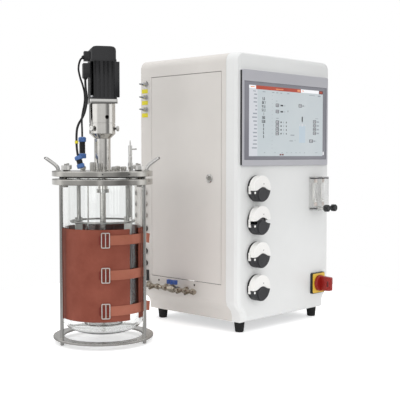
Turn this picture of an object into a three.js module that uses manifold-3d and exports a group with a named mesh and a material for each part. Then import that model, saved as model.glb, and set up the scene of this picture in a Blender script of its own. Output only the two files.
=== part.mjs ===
// A bench bioreactor: a stirred glass vessel in its stand beside its control cabinet.
// Millimetres, +Z up. The cabinet is drawn with its front left bottom corner at the origin and
// its front facing -Y; the whole is moved at the end so the origin is under its middle.
import * as THREE from "three";
import { mergeVertices } from "three/addons/utils/BufferGeometryUtils.js";
import Module from "manifold-3d";

const wasm = await Module();
wasm.setup();

const seatGap = 0.3; // between faces that meet
const runGap = 0.5; // round what turns or slides in a hole
const over = 1; // how far a cutting solid runs past the face that it cuts
const hoopSides = 36; // facets of the flange, the head plate and the base ring
const jarSides = 30;

// The cabinet: a wrapped cover, a moulded front and a tray that the feet are screwed under
const cabinet = { width: 420, depth: 385, top: 768, wall: 2.5, cornerRadius: 24 };
const plinth = { inset: 25, rearInset: 12, top: 45, shoulder: 90 };
const front = { depth: 42, wall: 3, edgeRadius: 13, seam: 0.6 };
const foot = { height: 29, topRadius: 15, bottomRadius: 12, recessRadius: 5, recess: 8 };
const footPlace = { side: 44, front: 31, back: 47 };
const tray = { lip: 14, sheet: 2.5 };
const louvre = { count: 9, width: 150, height: 5, pitch: 16, drop: 208 };

// The service door in the left side, hinged at its rear edge
const door = { front: 60.5, back: 46.6, bottom: 133.3, drop: 50.8, gap: 1.2, sheet: 2, fold: 14 };
const doorRear = cabinet.depth - door.back;
const doorTop = cabinet.top - door.drop;
const lock = { y: 104, z: 425, rimRadius: 12.5, rim: 3, barrelRadius: 9.5, barrel: 18 };
const cam = { length: 52, width: 14, thickness: 2.5 };
const keyway = { width: 3, height: 10, depth: 6 };

// The touch screen in the front
const screen = { width: 392, height: 261, shift: -4, drop: 47, proud: 8, cornerRadius: 4 };
const screenLeft = cabinet.width / 2 + screen.shift - screen.width / 2;
const screenRight = screenLeft + screen.width;
const screenTop = cabinet.top - screen.drop;
const screenBottom = screenTop - screen.height;
const screenBand = { side: 8, top: 31, bottom: 17, pocket: 4 };
const screenTub = { side: 14, end: 13, depth: 24 };
const screenGlass = 2.9;

// Four peristaltic pump heads in a column, counted from the top
const pump = { x: 75, drop: 26, space: 19.2, count: 4, radius: 36, plate: 7, depth: 25, sides: 18 };
const pumpEdge = { z: -5, rise: 9, x: 3, margin: 6, steps: 6 };
const pumpNose = { x: 0.5, z: -16, radius: 19, proud: 3 };
const pumpWell = { radius: 20.5, front: 21 };
const pumpCover = { wall: 3, edge: 2.5, archInner: 21.5, archOuter: 24, raised: [0, 8, 0, 0] };
const rotor = { rollers: 3, rollerRadius: 6, rollerCircle: 12, cheek: 1.5, shaftRadius: 4, tail: 22 };

// Two clear flow meters with needle valves
const meter = { right: 51, space: 7, width: 28, depth: 27, drop: 33.7, height: 99.8 };
const meterTop = screenBottom - meter.drop;
const meterBottom = meterTop - meter.height;
const meterXs = [cabinet.width - meter.right - meter.width - meter.space, cabinet.width - meter.right];
const meterBore = { radius: 4.6, topRadius: 5.4, bottom: 23.5, top: 81.5, portRadius: 2.5 };
const meterFloat = { radius: 3.6, height: 9 };
const meterKnob = { rise: 7.5, radius: 10.5, near: 47, length: 16, ribs: 10, stemRadius: 3.6, seat: 9 };

// The main isolator switch
const isolator = { right: 60, z: 106.5, size: 62, base: 8, plateSize: 58, plate: 1.8, cornerRadius: 5 };
const grip = { discRadius: 24, disc: 10, halfWidth: 6.5, halfHeight: 20, reach: 55, shaftRadius: 4 };
const padlockSlot = { near: 42, far: 49, halfHeight: 9 };

// Gas nozzles high on the left side, and the row of hose fittings below the door
const nozzle = { back: 24, drops: [67, 105, 141], base: [8, 6], body: [6, 16], barb: [3, 28] };
const socket = { back: 19, ports: [377, 344, 310], gland: 270, plugs: [203, 167] };
const portCap = { radius: 8.5, reach: 8 };
const glandBody = { radius: 9.5, shoulder: 4.5, endRadius: 6, reach: 13 };
const plugBody = { radius: 9, endRadius: 6.5, reach: 17 };
const inlet = { bottom: 114, top: 147, halfWidth: 14.5, reach: 4 };
const hoses = { x: -24, z: 106, front: 136, rear: 358, radius: 6, nutRadius: 9, nut: 10 };
const hoseNutYs = [146, 176, 206, 258, 290, 322, 350];
const hoseBarbYs = [160, 192, 306, 336];
const hoseWallYs = [191, 274, 350];
const valve = { y: 229, bodyRadius: 11, stemRadius: 3.5, wingHalf: 19, wing: 12.5, wingDepth: 11 };

// The mounting plate inside, with the controller, the power supply and the pump drives
const chassis = { x: 210, sheet: 2, front: 62, back: 33, drop: 78, fold: 20 };
const controlBox = { reach: 45, front: 90, rear: 250, bottom: 520, top: 660 };
const supplyBox = { reach: 60, front: 90, rear: 200, bottom: 330, top: 470 };
const supplyFin = { count: 6, reach: 66, front: 98, pitch: 16, width: 5, bottom: 336, top: 464 };
const driveBox = { count: 4, reach: 40, front: 222, pitch: 30, width: 24, bottom: 330, top: 430 };
const airPump = { reach: 80, front: 120, rear: 260, bottom: 120, top: 220 };

// The vessel stands at the cabinet's left, turned about its own axis
const vessel = { space: 155, y: 218.9, turn: THREE.MathUtils.degToRad(-39.55) };
const jar = { radius: 104.5, wall: 4.5, bottom: 21, dish: 57, rimReach: 8.5, rim: 3.2 };
const gasket = { thickness: 2.4, clearance: 0.5 };
const flange = { clearance: 2, reach: 19, bottom: 413.6, thickness: 14.9 };
const plate = { thickness: 14, chamfer: 1.5, bore: 13 };
const ring = { inset: 1.5, bottom: 12, top: 17.7 };
const leg = { radius: 5, inset: 10, angles: [-64, 64, 180] };
const clamp = { inset: 14, angles: [-52, 52, 128, -128], studRadius: 4, studReach: 19 };
const studHead = { radius: 7, height: 5 };
const clampNut = { radius: 14, waist: 8, waistHeight: 4.5, height: 12.5, lobes: 8, lobeDepth: 1.6 };
const blanket = { clearance: 0.5, thickness: 3, bottom: 67.5, top: 302, gapFrom: 39.5, gapTo: 59.3 };
const strap = { zs: [275.5, 187, 96], width: 25, thickness: 2, from: -4, to: 86, tail: 20, tailTurn: 14 };
const lift = { rodRadius: 3.5, inset: 16, reach: 17, halfSpan: 33, rise: 13, top: 33, seat: 8 };

// Heights and radii that follow from the sizes above
const rimRadius = jar.radius + jar.rimReach;
const jarBore = jar.radius - jar.wall;
const flangeRadius = rimRadius + flange.reach;
const legCircle = flangeRadius - leg.inset;
const clampCircle = flangeRadius - clamp.inset;
const rimBottom = flange.bottom + flange.thickness + seatGap;
const rimTop = rimBottom + jar.rim;
const gasketTop = rimTop + seatGap + gasket.thickness;
const plateBottom = gasketTop + seatGap;
const plateTop = plateBottom + plate.thickness;

// Stirrer drive: heights are above the head plate, or above the drive's top for the motor
const drive = { spigotRadius: 12.6, spigotDrop: 58, tubeRadius: 21.25, bodyRadius: 34 };
const driveRise = { coneBottom: 84, coneTop: 96, seam: 123.5, top: 173.7 };
const driveBore = { tube: 17, body: 30, journal: 16, taper: 8 };
const driveSlot = { angle: -55, width: 5, depth: 16, rise: 3 };
const drivePort = { x: 12, rise: 139, radius: 5, depth: 14 };
const driveTop = plateTop + driveRise.top;
const motor = { flange: 72, plate: 11.3, ears: 5, size: 68, body: 103, cap: 33 };
const motorTurn = THREE.MathUtils.degToRad(8);
const motorFlangeTop = driveTop + motor.plate;
const motorBodyTop = motorFlangeTop + motor.body;
const motorRib = { count: 5, depth: 3, width: 4, pitch: 11, margin: 6 };
const motorCap = { inset: 1, straight: 20, shoulder: 15 };
const encoderBox = { x: -47, halfDepth: 11, bottom: 99, top: 124 };
const powerBox = { x: -50, halfDepth: 15, bottom: 56, top: 93 };
const stir = { radius: 8, bottom: 75, couplingRadius: 20, couplingBottom: 111, couplingTop: 157 };
const couplingGroove = { bottom: 22, top: 26, depth: 3, slope: 1 };
const motorShaft = { radius: 7, drop: 3 };
const impeller = { zs: [112, 215], hub: 13, disc: 30, tip: 38, blade: 17, bladeHeight: 16, count: 6 };
const hubHalfHeight = 9;
const bladeThickness = 2;

// Inside the vessel
const cage = { ringInset: 17, ringWire: 2.5, ringZs: [84, 317], depth: 21, bottom: 76, top: 330 };
const cageRod = { inset: 11, radius: 5, angles: [-58, 62, 182], overlap: 10 };
const cageRadius = jarBore - cage.ringInset;
const sparge = { radius: 48, wire: 3, z: 46, pipeRadius: 2, angle: -52 };
const harvest = { x: 72, y: -20, radius: 4.5, bottom: 120, nutRadius: 7, nutRise: 21, bodyRise: 66 };
const harvestArm = { rise: 56, length: 17, radius: 2, topRadius: 1.5, topRise: 79 };

// Capped ports on the head plate: place, cap radius and height
const ports = [
  { x: -24, y: -66, radius: 8.5, height: 23 },
  { x: -6, y: -44, radius: 7.5, height: 21 },
  { x: 30, y: -60, radius: 8, height: 12 },
  { x: 54, y: -44, radius: 8, height: 12 },
  { x: 40, y: 56, radius: 8, height: 12 },
  { x: -52, y: 44, radius: 8, height: 12 },
];

const portNeck = { inset: 1.5, height: 3 };

// The motor's two cables, in the vessel's own frame with heights above the head plate, each from
// its box to its inline connector
const encoderCable = { radius: 2.5, sides: 6, steps: 20 };
const encoderRoute = [
  [-48.2, -5, 293.5], [-53.5, -5, 290.5], [-58.5, -5, 280], [-60.5, -5, 262], [-56.5, -5, 242],
  [-50, -5, 222], [-46, -5, 204], [-45, -5, 186], [-47, -5, 169], [-50, -5, 155],
  [-52.6, -5, 139], [-53, -5, 125], [-52.5, -5, 107], [-52.3, -5, 88.5],
];
const powerCable = { radius: 3, sides: 6, steps: 21 };
const powerRoute = [
  [-43, -15, 240.5], [-43, -15, 228], [-42, -16, 211], [-40, -17, 195], [-40, -18, 179],
  [-42.5, -18, 163], [-46.5, -18, 148], [-53.5, -18, 134], [-60.5, -19, 122], [-64.8, -21, 109],
  [-66.3, -23, 94], [-66.5, -25, 78], [-66, -27, 62], [-64.5, -29, 48], [-63.2, -30, 39.5],
];
const connector = { nutRadius: 10, bodyRadius: 8, sides: 10 };
const encoderPlug = { top: [-52.3, -5, 88.2], bottom: [-52.3, -5, 32.2], nut: 13 };
const powerPlug = { top: [-63, -30.2, 38.9], bottom: [-55.5, -33, 11.5], nut: 11 };
const abovePlate = ([x, y, z]) => [x, y, plateTop + z];

const paint = (color, roughness, metalness = 0) =>
  new THREE.MeshStandardMaterial({ color, roughness, metalness });
const sidePaint = paint(0xd0ccc8, 0.45);
const frontPaint = paint(0xe0e0de, 0.4);
const screenGrey = paint(0xb3b2ba, 0.45);
const screenLight = paint(0xcfd6dc, 0.15);
const blackPlastic = paint(0x26272a, 0.5);
const whitePlastic = paint(0xeceae6, 0.35);
const acrylic = paint(0xe8ecec, 0.08);
acrylic.transparent = true;
acrylic.opacity = 0.4;
const glass = acrylic.clone();
const red = paint(0xb0281f, 0.4);
const yellow = paint(0xe0b92e, 0.5);
const rubber = paint(0x1b1b1c, 0.85);
const steel = paint(0xbcbab6, 0.22, 1);
const zinc = paint(0xb9a98a, 0.35, 1);
const blue = paint(0x2f4fa8, 0.45);
const galvanised = paint(0x9da1a3, 0.4, 1);
const motorBlack = paint(0x2b2c2e, 0.45, 0.4);
const silicone = paint(0x87483a, 0.75);

// A closed three.js geometry as a manifold solid, its faces turned outwards.
function solid(geometry) {
  const bare = geometry.clone();
  bare.deleteAttribute("normal");
  bare.deleteAttribute("uv");
  const merged = mergeVertices(bare, 1e-4);
  const kept = [];
  for (let i = 0; i < merged.index.count; i += 3) {
    const [a, b, c] = merged.index.array.slice(i, i + 3);
    if (a !== b && b !== c && c !== a) kept.push(a, b, c);
  }
  const vertProperties = merged.attributes.position.array;
  const build = (triVerts) =>
    new wasm.Manifold(new wasm.Mesh({ numProp: 3, vertProperties, triVerts: new Uint32Array(triVerts) }));
  const made = build(kept);
  return made.volume() < 0 ? build(kept.reverse()) : made;
}

// A named mesh made from a manifold solid, added to its group.
function addPiece(group, name, body, material) {
  const { numProp, numVert, vertProperties, triVerts } = body.getMesh();
  const places = new Float32Array(numVert * 3);
  for (let i = 0; i < numVert; i++) {
    places.set(vertProperties.subarray(i * numProp, i * numProp + 3), i * 3);
  }
  const geometry = new THREE.BufferGeometry();
  geometry.setAttribute("position", new THREE.BufferAttribute(places, 3));
  geometry.setIndex(new THREE.BufferAttribute(triVerts, 1));
  geometry.computeVertexNormals();
  const mesh = new THREE.Mesh(geometry, material);
  mesh.name = name;
  group.add(mesh);
  return mesh;
}

const join = (solids) => solids.reduce((all, next) => all.add(next));
const cut = (body, tools) => tools.reduce((left, tool) => left.subtract(tool), body);

// A block between two corners.
function block([x0, y0, z0], [x1, y1, z1]) {
  const geometry = new THREE.BoxGeometry(x1 - x0, y1 - y0, z1 - z0);
  geometry.translate((x0 + x1) / 2, (y0 + y1) / 2, (z0 + z1) / 2);
  return solid(geometry);
}

// A round bar, or a cone, from one point to another.
function bar(from, to, radius, sides = 16, endRadius = radius) {
  const start = new THREE.Vector3(...from);
  const along = new THREE.Vector3(...to).sub(start);
  const geometry = new THREE.CylinderGeometry(endRadius, radius, along.length(), sides);
  geometry.translate(0, along.length() / 2, 0);
  const up = new THREE.Vector3(0, 1, 0);
  geometry.applyQuaternion(new THREE.Quaternion().setFromUnitVectors(up, along.normalize()));
  geometry.translate(...from);
  return solid(geometry);
}

// A profile of [radius, height] points turned about the Z axis.
function turned(profile, sides) {
  const points = profile.map(([r, z]) => new THREE.Vector2(r, z));
  return solid(new THREE.LatheGeometry(points, sides).rotateX(Math.PI / 2));
}

// A turned profile that closes on itself, for a ring or a sleeve.
const turnedRing = (profile, sides) => turned([...profile, profile[0]], sides);

// An outline in X and Y, raised from z0 to z1.
function raised(shape, z0, z1, curveSegments = 8) {
  const options = { depth: z1 - z0, bevelEnabled: false, curveSegments };
  return solid(new THREE.ExtrudeGeometry(shape, options).translate(0, 0, z0));
}

// An outline in X and Z, pushed back along Y from yFront to yBack, its front edge rounded.
function pushed(shape, yFront, yBack, round = 0, curveSegments = 8) {
  const options = { depth: yBack - yFront - round, bevelEnabled: round > 0, curveSegments };
  if (round > 0) {
    Object.assign(options, { bevelThickness: round, bevelSize: round, bevelOffset: -round });
    options.bevelSegments = round > 5 ? 2 : 1;
  }
  const geometry = new THREE.ExtrudeGeometry(shape, options);
  geometry.rotateX(Math.PI / 2).translate(0, yBack, 0);
  const body = solid(geometry);
  return round > 0 ? cut(body, [block([-999, yBack, -999], [999, yBack + 2 * round, 1999])]) : body;
}

// An outline in Y and Z, pushed along X from x0 to x1.
function acrossX(shape, x0, x1) {
  const options = { depth: x1 - x0, bevelEnabled: false, curveSegments: 6 };
  const geometry = new THREE.ExtrudeGeometry(shape, options);
  const yAxis = new THREE.Vector3(0, 1, 0);
  const zAxis = new THREE.Vector3(0, 0, 1);
  geometry.applyMatrix4(new THREE.Matrix4().makeBasis(yAxis, zAxis, new THREE.Vector3(1, 0, 0)));
  return solid(geometry.translate(x0, 0, 0));
}

// A round rod swept along a smooth curve through the points.
function swept(points, radius, sides, steps) {
  const section = new THREE.Shape();
  for (let i = 0; i < sides; i++) {
    const angle = (i / sides) * 2 * Math.PI;
    section[i ? "lineTo" : "moveTo"](radius * Math.cos(angle), radius * Math.sin(angle));
  }
  section.closePath();
  const path = new THREE.CatmullRomCurve3(points.map((p) => new THREE.Vector3(...p)));
  const options = { steps, extrudePath: path, bevelEnabled: false };
  return solid(new THREE.ExtrudeGeometry(section, options));
}

function roundedRect(x0, z0, x1, z1, radius) {
  const shape = new THREE.Shape();
  shape.moveTo(x0 + radius, z0);
  shape.lineTo(x1 - radius, z0);
  shape.absarc(x1 - radius, z0 + radius, radius, -Math.PI / 2, 0);
  shape.lineTo(x1, z1 - radius);
  shape.absarc(x1 - radius, z1 - radius, radius, 0, Math.PI / 2);
  shape.lineTo(x0 + radius, z1);
  shape.absarc(x0 + radius, z1 - radius, radius, Math.PI / 2, Math.PI);
  shape.lineTo(x0, z0 + radius);
  shape.absarc(x0 + radius, z0 + radius, radius, Math.PI, 1.5 * Math.PI);
  return shape;
}

// A circle whose edge swells in and out, for knurled nuts and ribbed knobs.
function lobedCircle(radius, lobes, depth, perLobe, x = 0, y = 0) {
  const shape = new THREE.Shape();
  const points = lobes * perLobe;
  for (let i = 0; i < points; i++) {
    const angle = (i / points) * 2 * Math.PI;
    const r = radius - (depth * (1 - Math.cos(lobes * angle))) / 2;
    shape[i ? "lineTo" : "moveTo"](x + r * Math.cos(angle), y + r * Math.sin(angle));
  }
  shape.closePath();
  return shape;
}

// A place round the vessel's axis: the angle is from its front, -Y, towards +X.
function around(radius, degrees, z) {
  const angle = THREE.MathUtils.degToRad(degrees);
  return [radius * Math.sin(angle), -radius * Math.cos(angle), z];
}

// The cabinet's outline seen from the front: round shoulders, and an S-curve in to the plinth.
function cabinetOutline(inset) {
  const left = inset;
  const right = cabinet.width - inset;
  const toe = plinth.inset + inset;
  const radius = cabinet.cornerRadius - inset;
  const archZ = cabinet.top - cabinet.cornerRadius;
  const bend = (plinth.shoulder - plinth.top) / 2;
  const shape = new THREE.Shape();
  shape.moveTo(toe, foot.height + inset);
  shape.lineTo(cabinet.width - toe, foot.height + inset);
  shape.lineTo(cabinet.width - toe, plinth.top);
  shape.bezierCurveTo(
    cabinet.width - toe, plinth.top + bend, right, plinth.shoulder - bend, right, plinth.shoulder);
  shape.lineTo(right, archZ);
  shape.absarc(right - radius, archZ, radius, 0, Math.PI / 2);
  shape.lineTo(left + radius, archZ + radius);
  shape.absarc(left + radius, archZ, radius, Math.PI / 2, Math.PI);
  shape.lineTo(left, plinth.shoulder);
  shape.bezierCurveTo(left, plinth.shoulder - bend, toe, plinth.top + bend, toe, plinth.top);
  shape.closePath();
  return shape;
}

// The wedge taken off the rear bottom edge, so that the plinth steps in there too.
function rearUndercut() {
  const step = cabinet.depth - plinth.rearInset;
  const bend = (plinth.shoulder - plinth.top) / 2;
  const shape = new THREE.Shape();
  shape.moveTo(step, 0);
  shape.lineTo(cabinet.depth + over, 0);
  shape.lineTo(cabinet.depth + over, plinth.shoulder);
  shape.lineTo(cabinet.depth, plinth.shoulder);
  shape.bezierCurveTo(
    cabinet.depth, plinth.shoulder - bend, step, plinth.top + bend, step, plinth.top);
  shape.closePath();
  return acrossX(shape, -over, cabinet.width + over);
}

function gasNozzle(drop) {
  const z = cabinet.top - drop;
  const at = (x) => [x, cabinet.depth - nozzle.back, z];
  return join([
    bar(at(cabinet.wall / 2), at(-nozzle.base[1]), nozzle.base[0], 6),
    bar(at(-nozzle.base[1] + 0.1), at(-nozzle.body[1]), nozzle.body[0], 8, nozzle.body[0] - 1),
    bar(at(-nozzle.body[1] + 0.1), at(-nozzle.barb[1]), nozzle.barb[0], 8, nozzle.barb[0] - 1),
  ]);
}

// Sensor ports, a cable gland, two plugs and the mains inlet, in a column behind the door.
function socketColumn() {
  const y = cabinet.depth - socket.back;
  const at = (x, z) => [x, y, z];
  const root = cabinet.wall / 2;
  const { radius, shoulder, endRadius, reach } = glandBody;
  const gland = socket.gland;
  return join([
    ...socket.ports.map((z) => bar(at(root, z), at(-portCap.reach, z), portCap.radius, 8)),
    bar(at(root, gland), at(-shoulder, gland), radius, 6),
    bar(at(-shoulder + 0.1, gland), at(-reach, gland), radius - 2, 8, endRadius),
    ...socket.plugs.map((z) =>
      bar(at(root, z), at(-plugBody.reach, z), plugBody.radius, 8, plugBody.endRadius)),
    block([-inlet.reach, y - inlet.halfWidth, inlet.bottom], [root, y + inlet.halfWidth, inlet.top]),
  ]);
}

function coverShell() {
  const start = front.depth + front.seam;
  const tube = pushed(cabinetOutline(0), start, cabinet.depth, 0, 6);
  const hollow = pushed(cabinetOutline(cabinet.wall), start - over, cabinet.depth + over, 0, 6);
  const toe = plinth.inset + cabinet.wall;
  const openBottom = block(
    [toe, start - over, 0],
    [cabinet.width - toe, cabinet.depth + over, foot.height + cabinet.wall + 0.1]);
  const doorway = block(
    [-over, door.front - door.gap, door.bottom - door.gap],
    [cabinet.wall + over, doorRear + door.gap, doorTop + door.gap]);
  const wrapped = cut(tube, [hollow, openBottom, doorway, rearUndercut()]);
  return join([wrapped, ...nozzle.drops.map(gasNozzle), socketColumn()]);
}

const pumpPitch = 2 * pump.radius + pump.space;
const pumpCentres = Array.from(
  { length: pump.count }, (_, i) => screenBottom - pump.drop - pump.radius - i * pumpPitch);
const screenTubBox = [
  [screenLeft + screenTub.side, screenBottom + screenTub.end],
  [screenRight - screenTub.side, screenTop - screenTub.end],
];

function frontMoulding() {
  const outer = pushed(cabinetOutline(0), 0, front.depth, front.edgeRadius, 4);
  const hollow = pushed(
    cabinetOutline(front.wall), front.wall, front.depth + over, front.edgeRadius - front.wall, 4);
  const toe = plinth.inset + front.wall;
  const openBottom = block(
    [toe, front.edgeRadius, 0],
    [cabinet.width - toe, front.depth + over, foot.height + front.wall + 0.1]);
  const [[tubLeft, tubBottom], [tubRight, tubTop]] = screenTubBox;
  const screenHole = block(
    [tubLeft - runGap, -over, tubBottom - runGap],
    [tubRight + runGap, front.wall + over, tubTop + runGap]);
  const shaftHole = (x, z, radius) => bar([x, -over, z], [x, front.wall + over, z], radius, 10);
  const pumpHoles = pumpCentres.map((z) => shaftHole(pump.x, z, rotor.shaftRadius + 3));
  const isolatorHole = shaftHole(cabinet.width - isolator.right, isolator.z, grip.shaftRadius + 3);
  return cut(outer, [hollow, openBottom, screenHole, ...pumpHoles, isolatorHole]);
}

function floorTray() {
  const side = plinth.inset + Math.max(cabinet.wall, front.wall) + seatGap;
  const near = front.edgeRadius + seatGap;
  const rear = cabinet.depth - plinth.rearInset - seatGap;
  const bottom = foot.height;
  const far = cabinet.width - side;
  const pan = block([side, near, bottom], [far, rear, bottom + tray.lip]);
  const inside = block(
    [side + tray.sheet, near + tray.sheet, bottom + tray.sheet],
    [far - tray.sheet, rear - tray.sheet, bottom + tray.lip + over]);
  const upstand = block([side, rear - tray.sheet, bottom], [far, rear, plinth.shoulder - 2]);
  return join([cut(pan, [inside]), upstand]);
}

function backPanel() {
  const rear = cabinet.depth - 3;
  const sheet = pushed(cabinetOutline(cabinet.wall + seatGap), rear - cabinet.wall, rear, 0, 6);
  const below = block([0, 0, 0], [cabinet.width, cabinet.depth, plinth.shoulder + 2]);
  const middle = cabinet.width / 2;
  const slots = Array.from({ length: louvre.count }, (_, i) => {
    const z = cabinet.top - louvre.drop + i * louvre.pitch;
    return block(
      [middle - louvre.width / 2, rear - cabinet.wall - over, z],
      [middle + louvre.width / 2, rear + over, z + louvre.height]);
  });
  return cut(sheet, [below, ...slots]);
}

function rubberFoot(x, y) {
  const { height, topRadius, bottomRadius, recessRadius, recess } = foot;
  const profile = [
    [0, recess], [recessRadius, recess], [recessRadius, 0], [bottomRadius - 1, 0],
    [bottomRadius, 1], [topRadius, height - seatGap], [0, height - seatGap],
  ];
  return turned(profile, 12).translate(x, y, 0);
}

function serviceDoor() {
  const sheet = block([0, door.front, door.bottom], [door.fold, doorRear, doorTop]);
  const inside = block(
    [door.sheet, door.front + door.sheet, door.bottom + door.sheet],
    [door.fold + over, doorRear - door.sheet, doorTop - door.sheet]);
  const lockHole = bar(
    [-over, lock.y, lock.z], [door.sheet + over, lock.y, lock.z], lock.barrelRadius + runGap, 16);
  return cut(sheet, [inside, lockHole]);
}

// A cam lock: its cam hangs down, unlocked, and turns forward behind the edge of the doorway.
function camLock() {
  const at = (x) => [x, lock.y, lock.z];
  const rim = bar(at(-lock.rim), at(-seatGap), lock.rimRadius - 1.5, 18, lock.rimRadius);
  const barrel = bar(at(-lock.rim / 2), at(lock.barrel), lock.barrelRadius, 14);
  const shape = new THREE.Shape();
  const halfWidth = cam.width / 2;
  shape.moveTo(lock.y + halfWidth, lock.z);
  shape.absarc(lock.y, lock.z, halfWidth, 0, Math.PI);
  shape.lineTo(lock.y - halfWidth, lock.z - cam.length);
  shape.lineTo(lock.y + halfWidth, lock.z - cam.length);
  shape.closePath();
  const tongue = acrossX(shape, lock.barrel - 0.1, lock.barrel + cam.thickness);
  const slot = block(
    [-lock.rim - over, lock.y - keyway.width / 2, lock.z - keyway.height / 2],
    [-lock.rim + keyway.depth, lock.y + keyway.width / 2, lock.z + keyway.height / 2]);
  return cut(join([rim, barrel, tongue]), [slot]);
}

const screenPocket = [
  [screenLeft + screenBand.side, screenBottom + screenBand.bottom],
  [screenRight - screenBand.side, screenTop - screenBand.top],
];

function screenFrame() {
  const { proud, cornerRadius } = screen;
  const outline = roundedRect(screenLeft, screenBottom, screenRight, screenTop, cornerRadius);
  const face = pushed(outline, -proud, -seatGap, 1.2, 3);
  const [[tubLeft, tubBottom], [tubRight, tubTop]] = screenTubBox;
  const tub = block([tubLeft, -seatGap - 0.1, tubBottom], [tubRight, screenTub.depth, tubTop]);
  const [[x0, z0], [x1, z1]] = screenPocket;
  const pocket = block([x0, -proud - over, z0], [x1, -screenBand.pocket, z1]);
  return cut(join([face, tub]), [pocket]);
}

function screenSheet() {
  const [[x0, z0], [x1, z1]] = screenPocket;
  const back = -screenBand.pocket - seatGap;
  return block(
    [x0 + seatGap, back - screenGlass, z0 + seatGap], [x1 - seatGap, back, z1 - seatGap]);
}

// The wavy line where a pump's cover meets its body: level, with a hump over the nose.
function pumpEdgeZ(x) {
  const t = Math.min(1, Math.abs(x - pumpEdge.x) / (pump.radius - pumpEdge.margin));
  return pumpEdge.z + (pumpEdge.rise * (1 + Math.cos(Math.PI * t))) / 2;
}

// Everything above the pump's wavy edge, lifted by an offset, out to a given radius.
function pumpUpper(radius, offset) {
  const shape = new THREE.Shape();
  const reach = radius + 5;
  shape.moveTo(-reach, pumpEdgeZ(-reach) + offset);
  for (let i = 0; i <= pumpEdge.steps; i++) {
    const x = pumpEdge.x + (pump.radius - pumpEdge.margin) * (-1 + (2 * i) / pumpEdge.steps);
    shape.lineTo(x, pumpEdgeZ(x) + offset);
  }
  shape.lineTo(reach, pumpEdgeZ(reach) + offset);
  shape.lineTo(reach, reach);
  shape.lineTo(-reach, reach);
  shape.closePath();
  return pushed(shape, -pump.depth - 5, -pump.plate);
}

function pumpBody(z) {
  const faceBack = -seatGap;
  const fullDisc = bar([0, faceBack, 0], [0, -pump.plate, 0], pump.radius, pump.sides);
  const front = -pump.depth + 1;
  const drum = bar([0, -pump.plate + 0.1, 0], [0, front, 0], pump.radius, pump.sides);
  const lower = cut(drum, [pumpUpper(pump.radius, -seatGap)]);
  const nose = bar(
    [pumpNose.x, front + 0.1, pumpNose.z], [pumpNose.x, front - pumpNose.proud, pumpNose.z],
    pumpNose.radius, 12, pumpNose.radius - 1.5);
  const well = bar([0, -pump.plate, 0], [0, -pumpWell.front, 0], pumpWell.radius, 10);
  const bore = bar([0, 0, 0], [0, -pump.plate - over, 0], rotor.shaftRadius + runGap, 8);
  return cut(join([fullDisc, lower, nose]), [well, bore]).translate(pump.x, 0, z);
}

// A white cover that slides up to let the tube in: a shell with the tube's arch inside it.
function pumpLid(z) {
  const circle = new THREE.Shape().absarc(0, 0, pump.radius, 0, 2 * Math.PI);
  const back = -pump.plate - seatGap;
  const outer = pushed(circle, -pump.depth, back, pumpCover.edge, pump.sides / 2);
  const insideFront = -pump.depth + pumpCover.wall;
  const hollow = bar(
    [0, back + over, 0], [0, insideFront, 0], pump.radius - pumpCover.wall, pump.sides);
  const arch = cut(
    bar([0, back, 0], [0, insideFront - 0.1, 0], pumpCover.archOuter, 12),
    [bar([0, back + over, 0], [0, insideFront, 0], pumpCover.archInner, 12)]);
  const whole = join([cut(outer, [hollow]), arch]);
  return whole.intersect(pumpUpper(pump.radius + over, seatGap)).translate(pump.x, 0, z);
}

function pumpRotor(z) {
  const back = -pump.plate - 1;
  const nose = -pumpWell.front + 1;
  const cheek = (y) => bar([0, y, 0], [0, y - rotor.cheek, 0], rotor.rollerCircle + 4, 8);
  const rollers = Array.from({ length: rotor.rollers }, (_, i) => {
    const angle = Math.PI / 2 + (i / rotor.rollers) * 2 * Math.PI;
    const x = rotor.rollerCircle * Math.cos(angle);
    const r = rotor.rollerCircle * Math.sin(angle);
    return bar([x, back - 0.5, r], [x, nose + 0.5, r], rotor.rollerRadius, 5);
  });
  const shaft = bar([0, rotor.tail, 0], [0, nose, 0], rotor.shaftRadius, 6);
  return join([cheek(back), cheek(nose + rotor.cheek), shaft, ...rollers]).translate(pump.x, 0, z);
}

function meterBody(x) {
  const middle = -meter.depth / 2;
  const body = pushed(
    roundedRect(x - meter.width / 2, meterBottom, x + meter.width / 2, meterTop, 2),
    -meter.depth, -seatGap, 0, 2);
  const { radius, topRadius, portRadius } = meterBore;
  const bottom = meterBottom + meterBore.bottom;
  const top = meterBottom + meterBore.top;
  const bore = bar([x, middle, bottom], [x, middle, top], radius, 10, topRadius);
  const port = (z) => bar([x, over, z], [x, middle, z], portRadius, 6);
  const knobZ = meterBottom + meterKnob.rise;
  const stemHole = bar(
    [x, -meter.depth - over, knobZ], [x, -meter.depth + meterKnob.seat, knobZ],
    meterKnob.stemRadius + runGap, 10);
  return cut(body, [bore, port(bottom + 3), port(top - 3), stemHole]);
}

function meterFloatBody(x) {
  const { radius, height } = meterFloat;
  const profile = [[0, 0], [radius - 2, 1.5], [radius, height - 2], [radius, height], [0, height]];
  return turned(profile, 10).translate(x, -meter.depth / 2, meterBottom + meterBore.bottom + seatGap);
}

function meterValveKnob(x) {
  const { radius, near, length, ribs, stemRadius, seat } = meterKnob;
  const z = meterBottom + meterKnob.rise;
  const grip = pushed(lobedCircle(radius, ribs, 1, 2, x, z), -near - length, -near);
  const stem = bar([x, -meter.depth + seat - runGap, z], [x, -near - 0.1, z], stemRadius, 8);
  return join([grip, stem]);
}

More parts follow.
